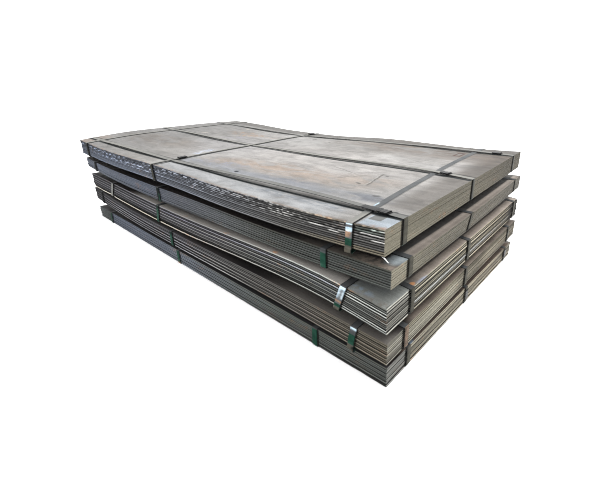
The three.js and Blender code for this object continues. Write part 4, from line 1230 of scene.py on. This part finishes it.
def top_face_material():
    """The open face of the whole stack: mill scale with temper colours, scuffs and a few placed marks."""
    m = Net("mill_scale_top")
    p = m.obj()
    w = m.warp(0.20, 3.0)
    ws = m.warp(0.05, 9.0)
    q = m.xyz(p)
    nz = m.xyz(m.node("ShaderNodeNewGeometry").outputs["Normal"])[2]
    cloud = m.noise(1.0, 4, 0.55, m.mapped((1.5, 3.2, 1), (0.4, 0, 0)), 0.6)
    cloud2 = m.noise(1.0, 6, 0.62, m.mapped((4.0, 9.0, 1), (3.0, 1.0, 0)), 0.9)
    blot = m.noise(1.0, 5, 0.65, m.mapped((9.0, 16.0, 1), (1.0, 7.0, 0), (0, 0, 0.5)), 0.6)
    streak = m.noise(1.0, 4, 0.6, m.mapped((1.6, 46, 1)))
    fine = m.noise(210, 3, 0.65)
    spots = m.noise(34, 4, 0.6)
    col = m.ramp(cloud, [(0.34, (0.206, 0.197, 0.185)), (0.5, (0.254, 0.245, 0.234)), (0.66, (0.296, 0.289, 0.281))])
    def shade(col, mask, colour, s): return m.over(col, mask, colour, s)
    # slower changes over the plate, first a painted sheen: lighter in the middle, darker towards the left and right
    # ends
    col = shade(col, m.range(q[0], -0.30, -1.30), (0.186, 0.182, 0.179), 0.76)
    col = shade(col, m.blob(w, 0.50, -0.12, 0.75, 0.30, 4, 0.6), (0.350, 0.332, 0.318), 0.78)
    col = shade(col, m.blob(w, -0.35, -0.10, 0.42, 0.28, 0, 0.6), (0.268, 0.262, 0.264), 0.65)
    col = shade(col, m.times(m.range(q[0], 1.30, 1.40), m.range(q[1], -0.62, -0.50)), (0.140, 0.129, 0.118), 0.85)
    col = shade(col, m.times(m.range(q[0], 1.36, 1.44), m.range(q[1], -0.30, 0.50)), (0.072, 0.062, 0.054), 0.88)
    col = shade(col, m.times(m.range(q[0], -0.1, 0.8), m.times(m.range(q[1], 0.22, 0.50), m.range(cloud2, 0.34, 0.50))), (0.150, 0.126, 0.108), 0.84)
    col = shade(col, m.times(m.range(q[0], 0.9, 1.25), m.range(q[1], 0.35, 0.60)), (0.100, 0.083, 0.070), 0.72)
    col = shade(col, m.range(q[1], 0.57, 0.63), (0.118, 0.112, 0.105), 0.85)
    col = shade(col, m.times(m.blob(w, -0.95, -0.36, 0.46, 0.13, 8, 0.6), m.range(cloud2, 0.34, 0.52)), (0.150, 0.131, 0.112), 0.65)
    # temper colours that follow strap a: blue next to it, straw brown beyond
    tan = m.math("MULTIPLY", m.line(w, -0.15, -0.50, 1.36, -0.27, 0.095, 0.9, 0.2), m.range(cloud2, 0.38, 0.54))
    col = shade(col, tan, (0.270, 0.226, 0.192), 0.70)
    col = shade(col, m.times(m.blob(w, 0.48, -0.37, 0.30, 0.06, 9, 0.7), m.range(cloud2, 0.42, 0.58)), (0.262, 0.205, 0.165), 0.60)
    blue = m.line(ws, -0.30, -0.575, 1.36, -0.505, 0.040, 0.9, 0.12)
    col = shade(col, m.times(blue, m.range(cloud2, 0.30, 0.50)), (0.222, 0.234, 0.256), 0.78)
    col = shade(col, m.times(m.blob(ws, 1.22, -0.50, 0.16, 0.045, 6, 0.6), m.range(cloud2, 0.38, 0.5)), (0.118, 0.125, 0.140), 0.80)
    col = shade(col, m.times(m.blob(ws, 0.75, -0.49, 0.22, 0.03, 6, 0.7), m.range(blot, 0.42, 0.56)), (0.130, 0.142, 0.168), 0.70)
    col = shade(col, m.times(m.blob(w, 0.15, -0.50, 0.20, 0.04, 4, 0.7), m.range(blot, 0.40, 0.55)), (0.185, 0.200, 0.245), 0.65)
    # the near strip and corner
    col = shade(col, m.times(m.line(ws, -0.30, -0.69, 1.34, -0.69, 0.055, 0.6), m.range(cloud2, 0.26, 0.44)), (0.300, 0.308, 0.318), 0.80)
    col = shade(col, m.times(m.line(ws, 0.60, -0.66, 1.30, -0.655, 0.026, 0.8), m.range(m.noise(1.0, 5, 0.7, m.mapped((14, 60, 1))), 0.44, 0.56)), (0.160, 0.180, 0.205), 0.60)
    col = shade(col, m.times(m.range(q[0], 1.362, 1.372), m.range(q[1], -0.60, -0.64)), (0.300, 0.340, 0.378), 0.90)
    col = shade(col, m.times(m.range(q[0], -1.36, -1.40), m.range(q[1], -0.52, -0.60)), (0.300, 0.245, 0.205), 0.55)
    rect = m.times(m.times(m.range(q[0], 1.374, 1.378), m.range(q[0], 1.430, 1.426)), m.times(m.range(q[1], -0.700, -0.695), m.range(q[1], -0.628, -0.633)))
    col = shade(col, rect, (0.118, 0.117, 0.110), 0.90)
    col = shade(col, m.times(m.times(m.range(q[0], 1.405, 1.44), m.range(q[1], -0.728, -0.745)), m.range(spots, 0.35, 0.6)), (0.32, 0.185, 0.11), 0.75)
    col = shade(col, m.times(m.range(q[1], -0.738, -0.752), m.range(m.noise(23, 3, 0.6), 0.42, 0.56)), (0.20, 0.135, 0.095), 0.50)
    # placed marks
    col = shade(col, m.times(m.blob(ws, -0.68, 0.27, 0.17, 0.075, 0, 0.6), m.range(spots, 0.48, 0.58)), (0.345, 0.215, 0.125), 0.80)
    col = shade(col, m.times(m.blob(ws, -0.45, 0.30, 0.20, 0.05, 10, 0.6), m.range(blot, 0.46, 0.58)), (0.21, 0.15, 0.11), 0.60)
    col = shade(col, m.times(m.blob(ws, -0.60, 0.12, 0.12, 0.04, 30, 0.6), m.range(spots, 0.48, 0.60)), (0.25, 0.235, 0.29), 0.6)
    scuff = m.times(m.line(ws, -0.235, -0.47, -0.275, -0.29, 0.030, 0.8), m.range(m.noise(1.0, 4, 0.7, m.mapped((90, 22, 1))), 0.46, 0.56))
    col = shade(col, scuff, (0.47, 0.52, 0.63), 0.9)
    for x0, y0, r in ((-1.02, 0.06, 0.05), (-0.93, 0.44, 0.05), (-0.72, 0.50, 0.03)):
        col = shade(col, m.times(m.blob(ws, x0, y0, r, 0.6 * r, 20, 0.5), m.range(spots, 0.48, 0.56)), (0.40, 0.37, 0.33), 0.7)
    # the crease, as a dark painted shade line with a lighter painted highlight line beside it, and the hair-like
    # scratches round it
    wl = m.warp(0.030, 22.0)
    col = shade(col, m.line(wl, 1.064, -0.13, 1.116, -0.36, 0.0042, 0.8, 0.1), (0.085, 0.078, 0.070), 0.80)
    col = shade(col, m.line(wl, 1.052, -0.13, 1.104, -0.36, 0.0040, 0.9, 0.1), (0.37, 0.355, 0.335), 0.55)
    for x0, y0, x1, y1 in ((0.93, -0.20, 1.07, -0.10), (0.70, -0.15, 0.96, -0.22), (0.88, -0.36, 1.02, -0.20), (1.00, 0.10, 1.12, 0.28), (0.62, 0.20, 0.74, 0.36),
                           (0.30, -0.28, 0.46, -0.16), (-0.18, -0.22, -0.06, -0.08), (0.42, 0.14, 0.60, 0.22), (1.12, -0.10, 1.25, 0.02)):
        col = shade(col, m.line(wl, x0, y0, x1, y1, 0.0030, 0.8), (0.105, 0.098, 0.090), 0.60)
    col = shade(col, m.blob(wl, 0.372, -0.552, 0.018, 0.011, 0, 0.3), (0.015, 0.018, 0.024), 0.95)
    for x0, y0, r in ((1.243, -0.462, 0.018), (1.055, -0.345, 0.016), (1.10, -0.165, 0.010), (-0.02, 0.46, 0.020), (0.20, 0.40, 0.014)):
        col = shade(col, m.blob(wl, x0, y0, r, 0.6 * r, 0, 0.4), (0.055, 0.052, 0.050), 0.75)
    o1 = m.times(m.times(m.range(q[0], 1.166, 1.169), m.range(q[0], 1.218, 1.215)), m.times(m.range(q[1], 0.448, 0.452), m.range(q[1], 0.554, 0.550)))
    o2 = m.times(m.times(m.range(q[0], 1.178, 1.181), m.range(q[0], 1.206, 1.203)), m.times(m.range(q[1], 0.466, 0.470), m.range(q[1], 0.536, 0.532)))
    col = shade(col, m.math("SUBTRACT", o1, o2, clamp=True), (0.065, 0.034, 0.026), 0.90)
    # dark painted shadow lines on both sides of each strap, one side stronger than the other
    def painted_strap_shadow(col, d, at, half, colour, strength):
        return shade(col, m.range(m.math("ABSOLUTE", m.math("SUBTRACT", d, at)), half * 1.5, half * 0.5), colour, strength)
    for key, sides in (("a", ((-0.0218, 0.0095, 0.995), (0.0235, 0.0055, 0.66))), ("b", ((-0.0320, 0.0115, 0.985), (0.0340, 0.0070, 0.55))),
                       ("c", ((-0.0312, 0.0110, 0.98), (0.0255, 0.0055, 0.50))), ("e", ((0.0255, 0.0085, 0.95), (-0.0225, 0.0045, 0.45))),
                       ("d", ((0.0220, 0.0075, 0.85), (-0.0210, 0.0040, 0.25)))):
        d = m.off_line(q, STRAP_LINES[key], key in "abc")
        for at, half, strength in sides:
            col = painted_strap_shadow(col, d, at, half, (0.006, 0.010, 0.011), strength)
    d = m.off_line(q, STRAP_LINES["f"], False)
    col = shade(col, m.times(m.range(m.math("ABSOLUTE", m.math("SUBTRACT", d, 0.0205)), 0.0068, 0.0025), m.range(q[1], -0.58, -0.62)), (0.005, 0.007, 0.009), 0.97)
    col = painted_strap_shadow(col, d, 0.0190, 0.0030, (0.03, 0.03, 0.03), 0.35)
    # painted shadow round the seals
    for x0, y0, rx, ry in ((1.395, -0.640, 0.050, 0.016), (1.427, -0.612, 0.012, 0.022), (1.335, -0.016, 0.050, 0.018), (1.381, 0.600, 0.050, 0.018),
                           (-0.190, -0.585, 0.026, 0.045), (-0.270, 0.640, 0.030, 0.055)):
        col = shade(col, m.blob(p, x0, y0, rx, ry, 0, 0.35), (0.006, 0.008, 0.009), 0.92)
    # blotches, streaks with the rolling, pits and fine grain
    col = m.mix(0.75, col, m.ramp(blot, [(0.34, 0.36), (0.5, 0.5), (0.66, 0.60)]), "OVERLAY")
    col = m.mix(0.45, col, m.ramp(streak, [(0.36, 0.40), (0.5, 0.5), (0.66, 0.58)]), "OVERLAY")
    col = m.mix(0.70, col, m.ramp(cloud2, [(0.36, 0.38), (0.5, 0.5), (0.64, 0.59)]), "OVERLAY")
    col = m.mix(0.50, col, m.ramp(fine, [(0.3, 0.30), (0.5, 0.5), (0.7, 0.68)]), "OVERLAY")
    pits = m.range(m.voronoi(40, m.mapped((1, 2.1, 1))), 0.10, 0.05)
    col = shade(col, m.times(pits, m.range(m.noise(5, 2), 0.48, 0.60)), (0.065, 0.060, 0.055), 0.65)
    # painted shade on faces turned downwards
    under = m.range(nz, 0.0, -0.3)
    col = m.mix(under, col, (0.030, 0.029, 0.028))
    rough = m.math("ADD", m.range(cloud2, 0.3, 0.7, 0.46, 0.62), m.range(fine, 0.3, 0.7, -0.05, 0.06))
    m.set(Base_Color=col, Metallic=m.range(streak, 0.35, 0.7, 0.0, 0.06), Roughness=rough,
          Normal=m.bump(m.math("ADD", m.times(fine, 0.35), m.math("ADD", m.times(cloud2, 1.6), m.times(blot, 1.2))), 0.35, 0.0012))
    m.bsdf.inputs["Specular IOR Level"].default_value = 0.10
    return m.mat


def covered_face_material(i):
    """The upper faces of the lower bundles: mill scale painted near black as shade where the bundle above covers them,
    with painted light only near their edges.
    """
    m = Net("mill_scale_covered_%d" % i)
    p = m.obj()
    q = m.xyz(p)
    w = m.warp(0.05, 9.0)
    cloud = m.noise(1.0, 5, 0.6, m.mapped((2.0, 7.0, 1), (2.3 * i, 0, 0)), 0.5)
    spots = m.noise(38, 4, 0.6, m.mapped((1, 1, 1), (i, 0, 0)))
    fine = m.noise(230, 3, 0.6)
    streak = m.noise(1.0, 3, 0.6, m.mapped((2.0, 80, 1)))
    nz = m.xyz(m.node("ShaderNodeNewGeometry").outputs["Normal"])[2]
    # painted shade: the covered face is near black
    dark = m.ramp(cloud, [(0.3, (0.018, 0.017, 0.018)), (0.6, (0.030, 0.026, 0.025)), (0.8, (0.045, 0.034, 0.028))])
    col = dark
    front = m.range(q[1], -0.700, -0.745)
    if i == 2:
        # painted light on the open strip along the front near the right end, then a rust patch, then a painted
        # reflection of the sky in the bluish patch at the right corner
        col = m.over(col, m.times(m.range(q[0], 0.85, 1.25), m.range(q[1], -0.66, -0.72)), m.ramp(cloud, [(0.3, (0.092, 0.082, 0.073)), (0.7, (0.152, 0.135, 0.118))]), 0.92)
        col = m.over(col, m.times(m.blob(w, 1.43, -0.715, 0.10, 0.035, 0, 0.5), m.range(spots, 0.40, 0.56)), (0.27, 0.225, 0.188), 0.7)
        col = m.over(col, m.blob(w, 1.478, -0.640, 0.032, 0.048, 0, 0.45), (0.325, 0.365, 0.382), 0.92)
        # painted light and shade along the right edge: a dim strip, a bright lit strip, then a duller strip at the edge
        rim = m.range(q[1], -0.63, -0.56)
        col = m.over(col, m.times(m.range(q[0], 1.415, 1.435), rim), m.ramp(cloud, [(0.3, (0.080, 0.078, 0.074)), (0.7, (0.120, 0.114, 0.106))]), 0.9)
        col = m.over(col, m.times(m.range(q[0], 1.458, 1.467), rim), m.ramp(cloud, [(0.3, (0.310, 0.272, 0.238)), (0.7, (0.420, 0.370, 0.325))]), 0.92)
        col = m.over(col, m.times(m.range(q[0], 1.470, 1.492), rim), m.ramp(cloud, [(0.3, (0.150, 0.130, 0.113)), (0.7, (0.220, 0.192, 0.168))]), 0.9)
    elif i == 3:
        # painted light: a lit strip along the near edge, a lighter right part, and light rims along the near and right
        # edges
        band = m.ramp(cloud, [(0.3, (0.31, 0.292, 0.272)), (0.7, (0.42, 0.398, 0.372))])
        col = m.over(col, m.times(m.range(q[1], -0.665, -0.705), m.range(q[0], -0.75, -0.45)), band, 0.95)
        col = m.over(col, m.times(m.range(q[0], 1.31, 1.33), m.range(q[1], -0.50, -0.62)), (0.205, 0.218, 0.212), 0.94)
        lip = m.math("MAXIMUM", m.times(m.range(q[0], 1.32, 1.34), m.range(q[1], -0.690, -0.706)), m.times(m.range(q[0], 1.448, 1.460), m.range(q[1], -0.50, -0.58)))
        col = m.over(col, lip, (0.275, 0.288, 0.270), 0.60)
        col = m.over(col, m.times(m.blob(w, 1.37, -0.722, 0.05, 0.02, 0, 0.5), m.range(spots, 0.42, 0.56)), (0.30, 0.37, 0.44), 0.8)
        col = m.over(col, m.times(m.line(w, 1.33, -0.742, 1.50, -0.742, 0.014, 0.7), m.range(spots, 0.40, 0.55)), (0.20, 0.160, 0.130), 0.45)
        for x0 in (0.08, 0.50, 0.90):
            col = m.over(col, m.times(m.blob(w, x0, -0.730, 0.022, 0.010, 0, 0.5), m.range(spots, 0.42, 0.56)), (0.55, 0.30, 0.17), 0.8)
        # painted light and shade along the right edge: a dim strip, then a bright lit strip
        rim = m.range(q[1], -0.58, -0.50)
        col = m.over(col, m.times(m.range(q[0], 1.40, 1.43), rim), m.ramp(cloud, [(0.3, (0.078, 0.070, 0.064)), (0.7, (0.135, 0.118, 0.104))]), 0.9)
        col = m.over(col, m.times(m.range(q[0], 1.460, 1.469), rim), m.ramp(cloud, [(0.3, (0.240, 0.205, 0.176)), (0.7, (0.360, 0.312, 0.270))]), 0.92)
        col = m.over(col, m.blob(w, 1.492, -0.545, 0.010, 0.014, 0, 0.4), (0.50, 0.25, 0.12), 0.95)
        col = m.over(col, m.times(m.range(q[0], 1.47, 1.485), m.blob(w, 1.505, -0.49, 0.014, 0.035, 0, 0.4)), (0.30, 0.33, 0.38), 0.8)
    elif i == 4:
        # painted light on the open strip along the front and along the right edge
        col = m.over(col, m.times(m.range(q[0], 0.70, 1.15), m.range(q[1], -0.64, -0.72)), m.ramp(cloud, [(0.3, (0.095, 0.090, 0.083)), (0.7, (0.165, 0.152, 0.138))]), 0.9)
        col = m.over(col, m.times(front, m.range(q[0], 0.8, -0.2)), (0.06, 0.058, 0.058), 0.8)
        col = m.over(col, m.times(m.range(q[0], 1.45, 1.49), m.range(q[1], -0.62, -0.54)), m.ramp(cloud, [(0.3, (0.115, 0.095, 0.080)), (0.7, (0.215, 0.180, 0.150))]), 0.85)
    else:
        # painted light on the front strip and along the right edge
        col = m.over(col, front, (0.05, 0.052, 0.055), 0.8)
        col = m.over(col, m.times(m.range(q[0], 1.44, 1.49), m.range(q[1], -0.66, -0.60)), m.ramp(cloud, [(0.3, (0.070, 0.054, 0.044)), (0.7, (0.14, 0.108, 0.088))]), 0.85)
        col = m.over(col, m.blob(w, 1.495, -0.56, 0.02, 0.03, 0, 0.4), (0.20, 0.26, 0.33), 0.8)
    # painted light along the far and left rims
    far = m.times(m.range(q[1], 0.715, 0.745), 1.0)
    col = m.over(col, m.math("MAXIMUM", far, m.range(q[0], -1.465, -1.49)), (0.11, 0.105, 0.10), 0.8)
    col = m.mix(0.45, col, m.ramp(fine, [(0.3, 0.34), (0.5, 0.5), (0.7, 0.64)]), "OVERLAY")
    col = m.mix(0.45, col, m.ramp(streak, [(0.36, 0.38), (0.5, 0.5), (0.66, 0.60)]), "OVERLAY")
    # painted shade on faces turned downwards
    col = m.mix(m.range(nz, 0.0, -0.3), col, (0.022, 0.021, 0.022))
    m.set(Base_Color=col, Metallic=m.range(streak, 0.35, 0.7, 0.02, 0.10), Roughness=m.range(spots, 0.3, 0.7, 0.50, 0.70),
          Normal=m.bump(m.math("ADD", m.times(fine, 0.3), cloud), 0.25, 0.0010))
    m.bsdf.inputs["Specular IOR Level"].default_value = 0.07
    return m.mat


def strap_material():
    """Steel strapping: blue-grey or green lacquer, copper-brown in places and chipped at its edges, with painted
    highlights, painted shadow along its edges and a pale painted reflection on its top runs.
    """
    m = Net("steel_strapping")
    at = {k: m.attr(k) for k in ("green", "olive", "bright", "copper", "dark", "pale")}
    rub = m.noise(1.0, 4, 0.65, m.mapped((26, 26, 60)))
    long = m.noise(1.0, 3, 0.6, m.mapped((9, 9, 9), (2, 0, 0)))
    fine = m.noise(520, 3, 0.6)
    def soft(a, lo, hi):     # a mask whose border is broken up by the rubbing
        return m.range(m.math("ADD", a, m.times(m.math("SUBTRACT", rub, 0.5), 0.55)), lo, hi)
    col = m.ramp(long, [(0.3, (0.085, 0.090, 0.094)), (0.7, (0.130, 0.134, 0.136))])
    # pale: a painted reflection of the sky on the top runs of the top bundle's straps, and the strap's own paler colour
    # elsewhere
    col = m.mix(at["pale"], col, m.ramp(rub, [(0.3, (0.250, 0.246, 0.228)), (0.7, (0.330, 0.322, 0.292))]))
    col = m.mix(soft(at["green"], 0.30, 0.70), col, m.ramp(rub, [(0.3, (0.008, 0.032, 0.021)), (0.6, (0.016, 0.056, 0.038)), (0.8, (0.034, 0.085, 0.062))]))
    col = m.mix(soft(at["olive"], 0.35, 0.70), col, m.ramp(rub, [(0.3, (0.050, 0.048, 0.039)), (0.7, (0.088, 0.084, 0.068))]))
    col = m.mix(soft(at["copper"], 0.30, 0.70), col, m.ramp(rub, [(0.3, (0.155, 0.100, 0.070)), (0.7, (0.35, 0.235, 0.165))]))
    # bright: painted highlights where the straps bend
    col = m.mix(soft(at["bright"], 0.30, 0.80), col, m.ramp(rub, [(0.3, (0.33, 0.46, 0.56)), (0.7, (0.66, 0.78, 0.86))]))
    col = m.mix(0.35, col, m.ramp(fine, [(0.3, 0.34), (0.5, 0.5), (0.7, 0.64)]), "OVERLAY")
    edge = m.range(m.math("ABSOLUTE", m.attr("across")), 0.86, 1.0)
    chip = m.times(edge, m.range(rub, 0.52, 0.64))
    col = m.mix(m.times(chip, 0.5), col, (0.22, 0.215, 0.205))
    # dark: the strap's own dark paint, and painted shadow along its edges and on its underside
    col = m.mix(at["dark"], col, (0.0045, 0.0055, 0.006))
    metal = m.math("ADD", m.times(at["bright"], 0.6), m.times(at["copper"], 0.25), clamp=True)
    metal = m.times(m.math("ADD", metal, 0.06, clamp=True), m.math("SUBTRACT", 1.0, at["dark"]))
    m.set(Base_Color=col, Metallic=metal,
          Roughness=m.mixf(at["bright"], m.range(rub, 0.3, 0.7, 0.50, 0.34), 0.30),
          Normal=m.bump(m.math("ADD", m.times(fine, 0.4), rub), 0.22, 0.0006))
    m.bsdf.inputs["Specular IOR Level"].default_value = 0.01
    return m.mat


def seal_material():
    m = Net("seal_steel")
    t = m.attr("tone")
    rub = m.noise(240, 4, 0.6)
    col = m.ramp(m.math("ADD", m.times(t, 0.6), m.times(m.math("SUBTRACT", rub, 0.5), 0.9)),
                 [(0.05, (0.008, 0.008, 0.009)), (0.35, (0.045, 0.045, 0.045)), (0.6, (0.12, 0.118, 0.112)), (0.9, (0.26, 0.255, 0.24))])
    m.set(Base_Color=col, Metallic=0.35, Roughness=m.range(rub, 0.3, 0.7, 0.34, 0.55), Normal=m.bump(rub, 0.3, 0.0006))
    m.bsdf.inputs["Specular IOR Level"].default_value = 0.3
    return m.mat


def sliver_material():
    m = Net("bright_torn_steel")
    g = m.noise(300, 3, 0.6)
    m.set(Base_Color=m.ramp(g, [(0.3, (0.62, 0.63, 0.62)), (0.7, (0.86, 0.86, 0.84))]), Metallic=0.35,
          Roughness=m.range(g, 0.3, 0.7, 0.25, 0.45), Normal=m.bump(g, 0.2, 0.0004))
    return m.mat


def wood_material():
    """Rough-sawn softwood of the hidden battens."""
    m = Net("batten_wood")
    w = m.warp(0.01, 20.0)
    ring = m.noise(1.0, 4, 0.6, m.mapped((9, 1.2, 26), vec=w), 1.2)
    g = m.noise(1.0, 4, 0.65, m.mapped((160, 12, 160)))
    col = m.ramp(ring, [(0.30, (0.115, 0.074, 0.043)), (0.5, (0.19, 0.128, 0.078)), (0.7, (0.27, 0.19, 0.12))])
    col = m.mix(0.6, col, m.ramp(g, [(0.3, 0.30), (0.5, 0.5), (0.7, 0.66)]), "OVERLAY")
    col = m.over(col, m.range(m.noise(7, 3), 0.55, 0.75), (0.07, 0.055, 0.042), 0.6)
    m.set(Base_Color=col, Roughness=m.range(g, 0.3, 0.7, 0.75, 0.92), Normal=m.bump(m.math("ADD", g, m.times(ring, 0.6)), 0.6, 0.0012))
    m.bsdf.inputs["Specular IOR Level"].default_value = 0.2
    return m.mat


# where the top bundle's straps run, in metres in the frame
STRAP_LINES = {}
for key in "abc":
    lx = np.array([-1498, -1250, -1000, -700, -400, -150, 100, 350, 600, 880, 1150, 1320, 1500.0])
    STRAP_LINES[key] = [tuple(v) for v in place(BUNDLES[1], np.stack([lx, long_y(BUNDLES[1], key, lx), 0 * lx], 1))[:, :2].tolist()]
for key in "def":
    ly = np.array([-748, -520, -300, 0, 300, 520, 748.0])
    STRAP_LINES[key] = [tuple(v) for v in place(BUNDLES[1], np.stack([cross_x(BUNDLES[1], key, ly), ly, 0 * ly], 1))[:, :2].tolist()]

inner = inner_face_material()
tops = {1: top_face_material()}
for i in (2, 3, 4, 5):
    tops[i] = covered_face_material(i)
strap_mat, seal_mat, sliver_mat, wood_mat = strap_material(), seal_material(), sliver_material(), wood_material()
for i in BUNDLES:
    edges = edge_material(i)
    for k in range(BUNDLES[i]["n"]):
        build_plate(i, k, [tops[i] if k == BUNDLES[i]["n"] - 1 else inner, edges])
    for key in "def":
        cross_strap(i, key, strap_mat)
    for key in "abc":
        long_strap(i, key, strap_mat)
seal("bundle_1_seal_a", 1, "a", 2, 1405.0, 10, seal_mat, 11, tall=1.7, back=80, tone=-0.05)
seal("bundle_1_seal_b", 1, "b", 2, 1345.0, 9, seal_mat, 12, tall=2.0)
seal("bundle_1_seal_c", 1, "c", 2, 1397.0, 9, seal_mat, 13, tall=2.0, tone=-0.25)
seal("bundle_1_seal_e", 1, "e", 2, -560.0, 8, seal_mat, 14, tall=2.6, tone=-0.60)
seal("bundle_1_seal_e_far", 1, "e", 2, 660.0, 8, seal_mat, 15, tall=2.6, tone=-0.45)
seal("bundle_5_seal_b", 5, "b", 3, 52.0, 0, seal_mat, 16)
seal("bundle_5_seal_c", 5, "c", 3, 56.0, 0, seal_mat, 17)
corner_sliver(sliver_mat)

# ---- carried-over nodes ---------------------------------------------------------------
for name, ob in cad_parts.items():
    if "seal" in name:
        ob.data.materials.clear(); ob.data.materials.append(seal_mat)
    if "batten" in name:
        ob.data.materials.clear(); ob.data.materials.append(wood_mat)

# ---- floor, light, camera ---------------------------------------------------------------
def floor():
    """A plain pale floor."""
    me = bpy.data.meshes.new("floor")
    s = 40.0
    me.from_pydata([(-s, -s, -0.0005), (s, -s, -0.0005), (s, s, -0.0005), (-s, s, -0.0005)], [], [(0, 1, 2, 3)])
    ob = bpy.data.objects.new("floor", me)
    bpy.context.scene.collection.objects.link(ob)
    f = Net("floor_pale")
    g = f.noise(3.0, 2)
    f.set(Base_Color=f.ramp(g, [(0.3, 0.90), (0.7, 0.93)]), Roughness=0.9, Emission_Color=(1, 1, 1), Emission_Strength=0.36)
    f.bsdf.inputs["Specular IOR Level"].default_value = 0.1
    ob.data.materials.append(f.mat)


floor()


def area(name, loc, target, size, power, color=(1, 1, 1)):
    l = bpy.data.lights.new(name, "AREA")
    l.shape = "RECTANGLE"; l.size, l.size_y = size
    l.energy = power; l.color = color
    ob = bpy.data.objects.new(name, l)
    ob.location = loc
    ob.rotation_mode = "QUATERNION"
    ob.rotation_quaternion = (Vector(target) - Vector(loc)).to_track_quat("-Z", "Y")
    bpy.context.scene.collection.objects.link(ob)
    return ob


world = bpy.data.worlds.new("studio")
bpy.context.scene.world = world
world.use_nodes = True
world.node_tree.nodes["Background"].inputs[0].default_value = (1, 1, 1, 1)
world.node_tree.nodes["Background"].inputs[1].default_value = 1.4
area("key", (2.6, 3.4, 4.6), (0.2, 0, 0.5), (2.2, 2.2), 260)

CAM = dict(pos=(2066.75916, -1652.18444, 1081.17853), yaw=0.6919, pitch=0.33764, roll=0.00089, f=358.23485, cx=347.07747, cy=212.18491)


def camera():
    cam = bpy.data.cameras.new("camera")
    ob = bpy.data.objects.new("camera", cam)
    bpy.context.scene.collection.objects.link(ob)
    y, p, r = CAM["yaw"], CAM["pitch"], CAM["roll"]
    fwd = np.array([-math.sin(y) * math.cos(p), math.cos(y) * math.cos(p), -math.sin(p)])
    rt = np.array([math.cos(y), math.sin(y), 0.0])
    up = np.cross(rt, fwd)
    r2 = rt * math.cos(r) + up * math.sin(r)
    u2 = -rt * math.sin(r) + up * math.cos(r)
    loc = (np.array(CAM["pos"]) + SHIFT) * MM
    ob.matrix_world = Matrix(((r2[0], u2[0], -fwd[0], loc[0]), (r2[1], u2[1], -fwd[1], loc[1]),
                              (r2[2], u2[2], -fwd[2], loc[2]), (0, 0, 0, 1)))
    cam.sensor_fit = "HORIZONTAL"
    cam.sensor_width = 36
    cam.lens = CAM["f"] / 600 * 36
    cam.shift_x = (300 - CAM["cx"]) / 600
    cam.shift_y = (CAM["cy"] - 240) / 600
    cam.clip_start, cam.clip_end = 0.05, 200
    bpy.context.scene.camera = ob


camera()
bpy.context.scene.view_settings.view_transform = "Standard"
bpy.context.scene.view_settings.look = "None"
bpy.context.scene.cycles.filter_width = 1.0      # the photo is sharp down to its pixels
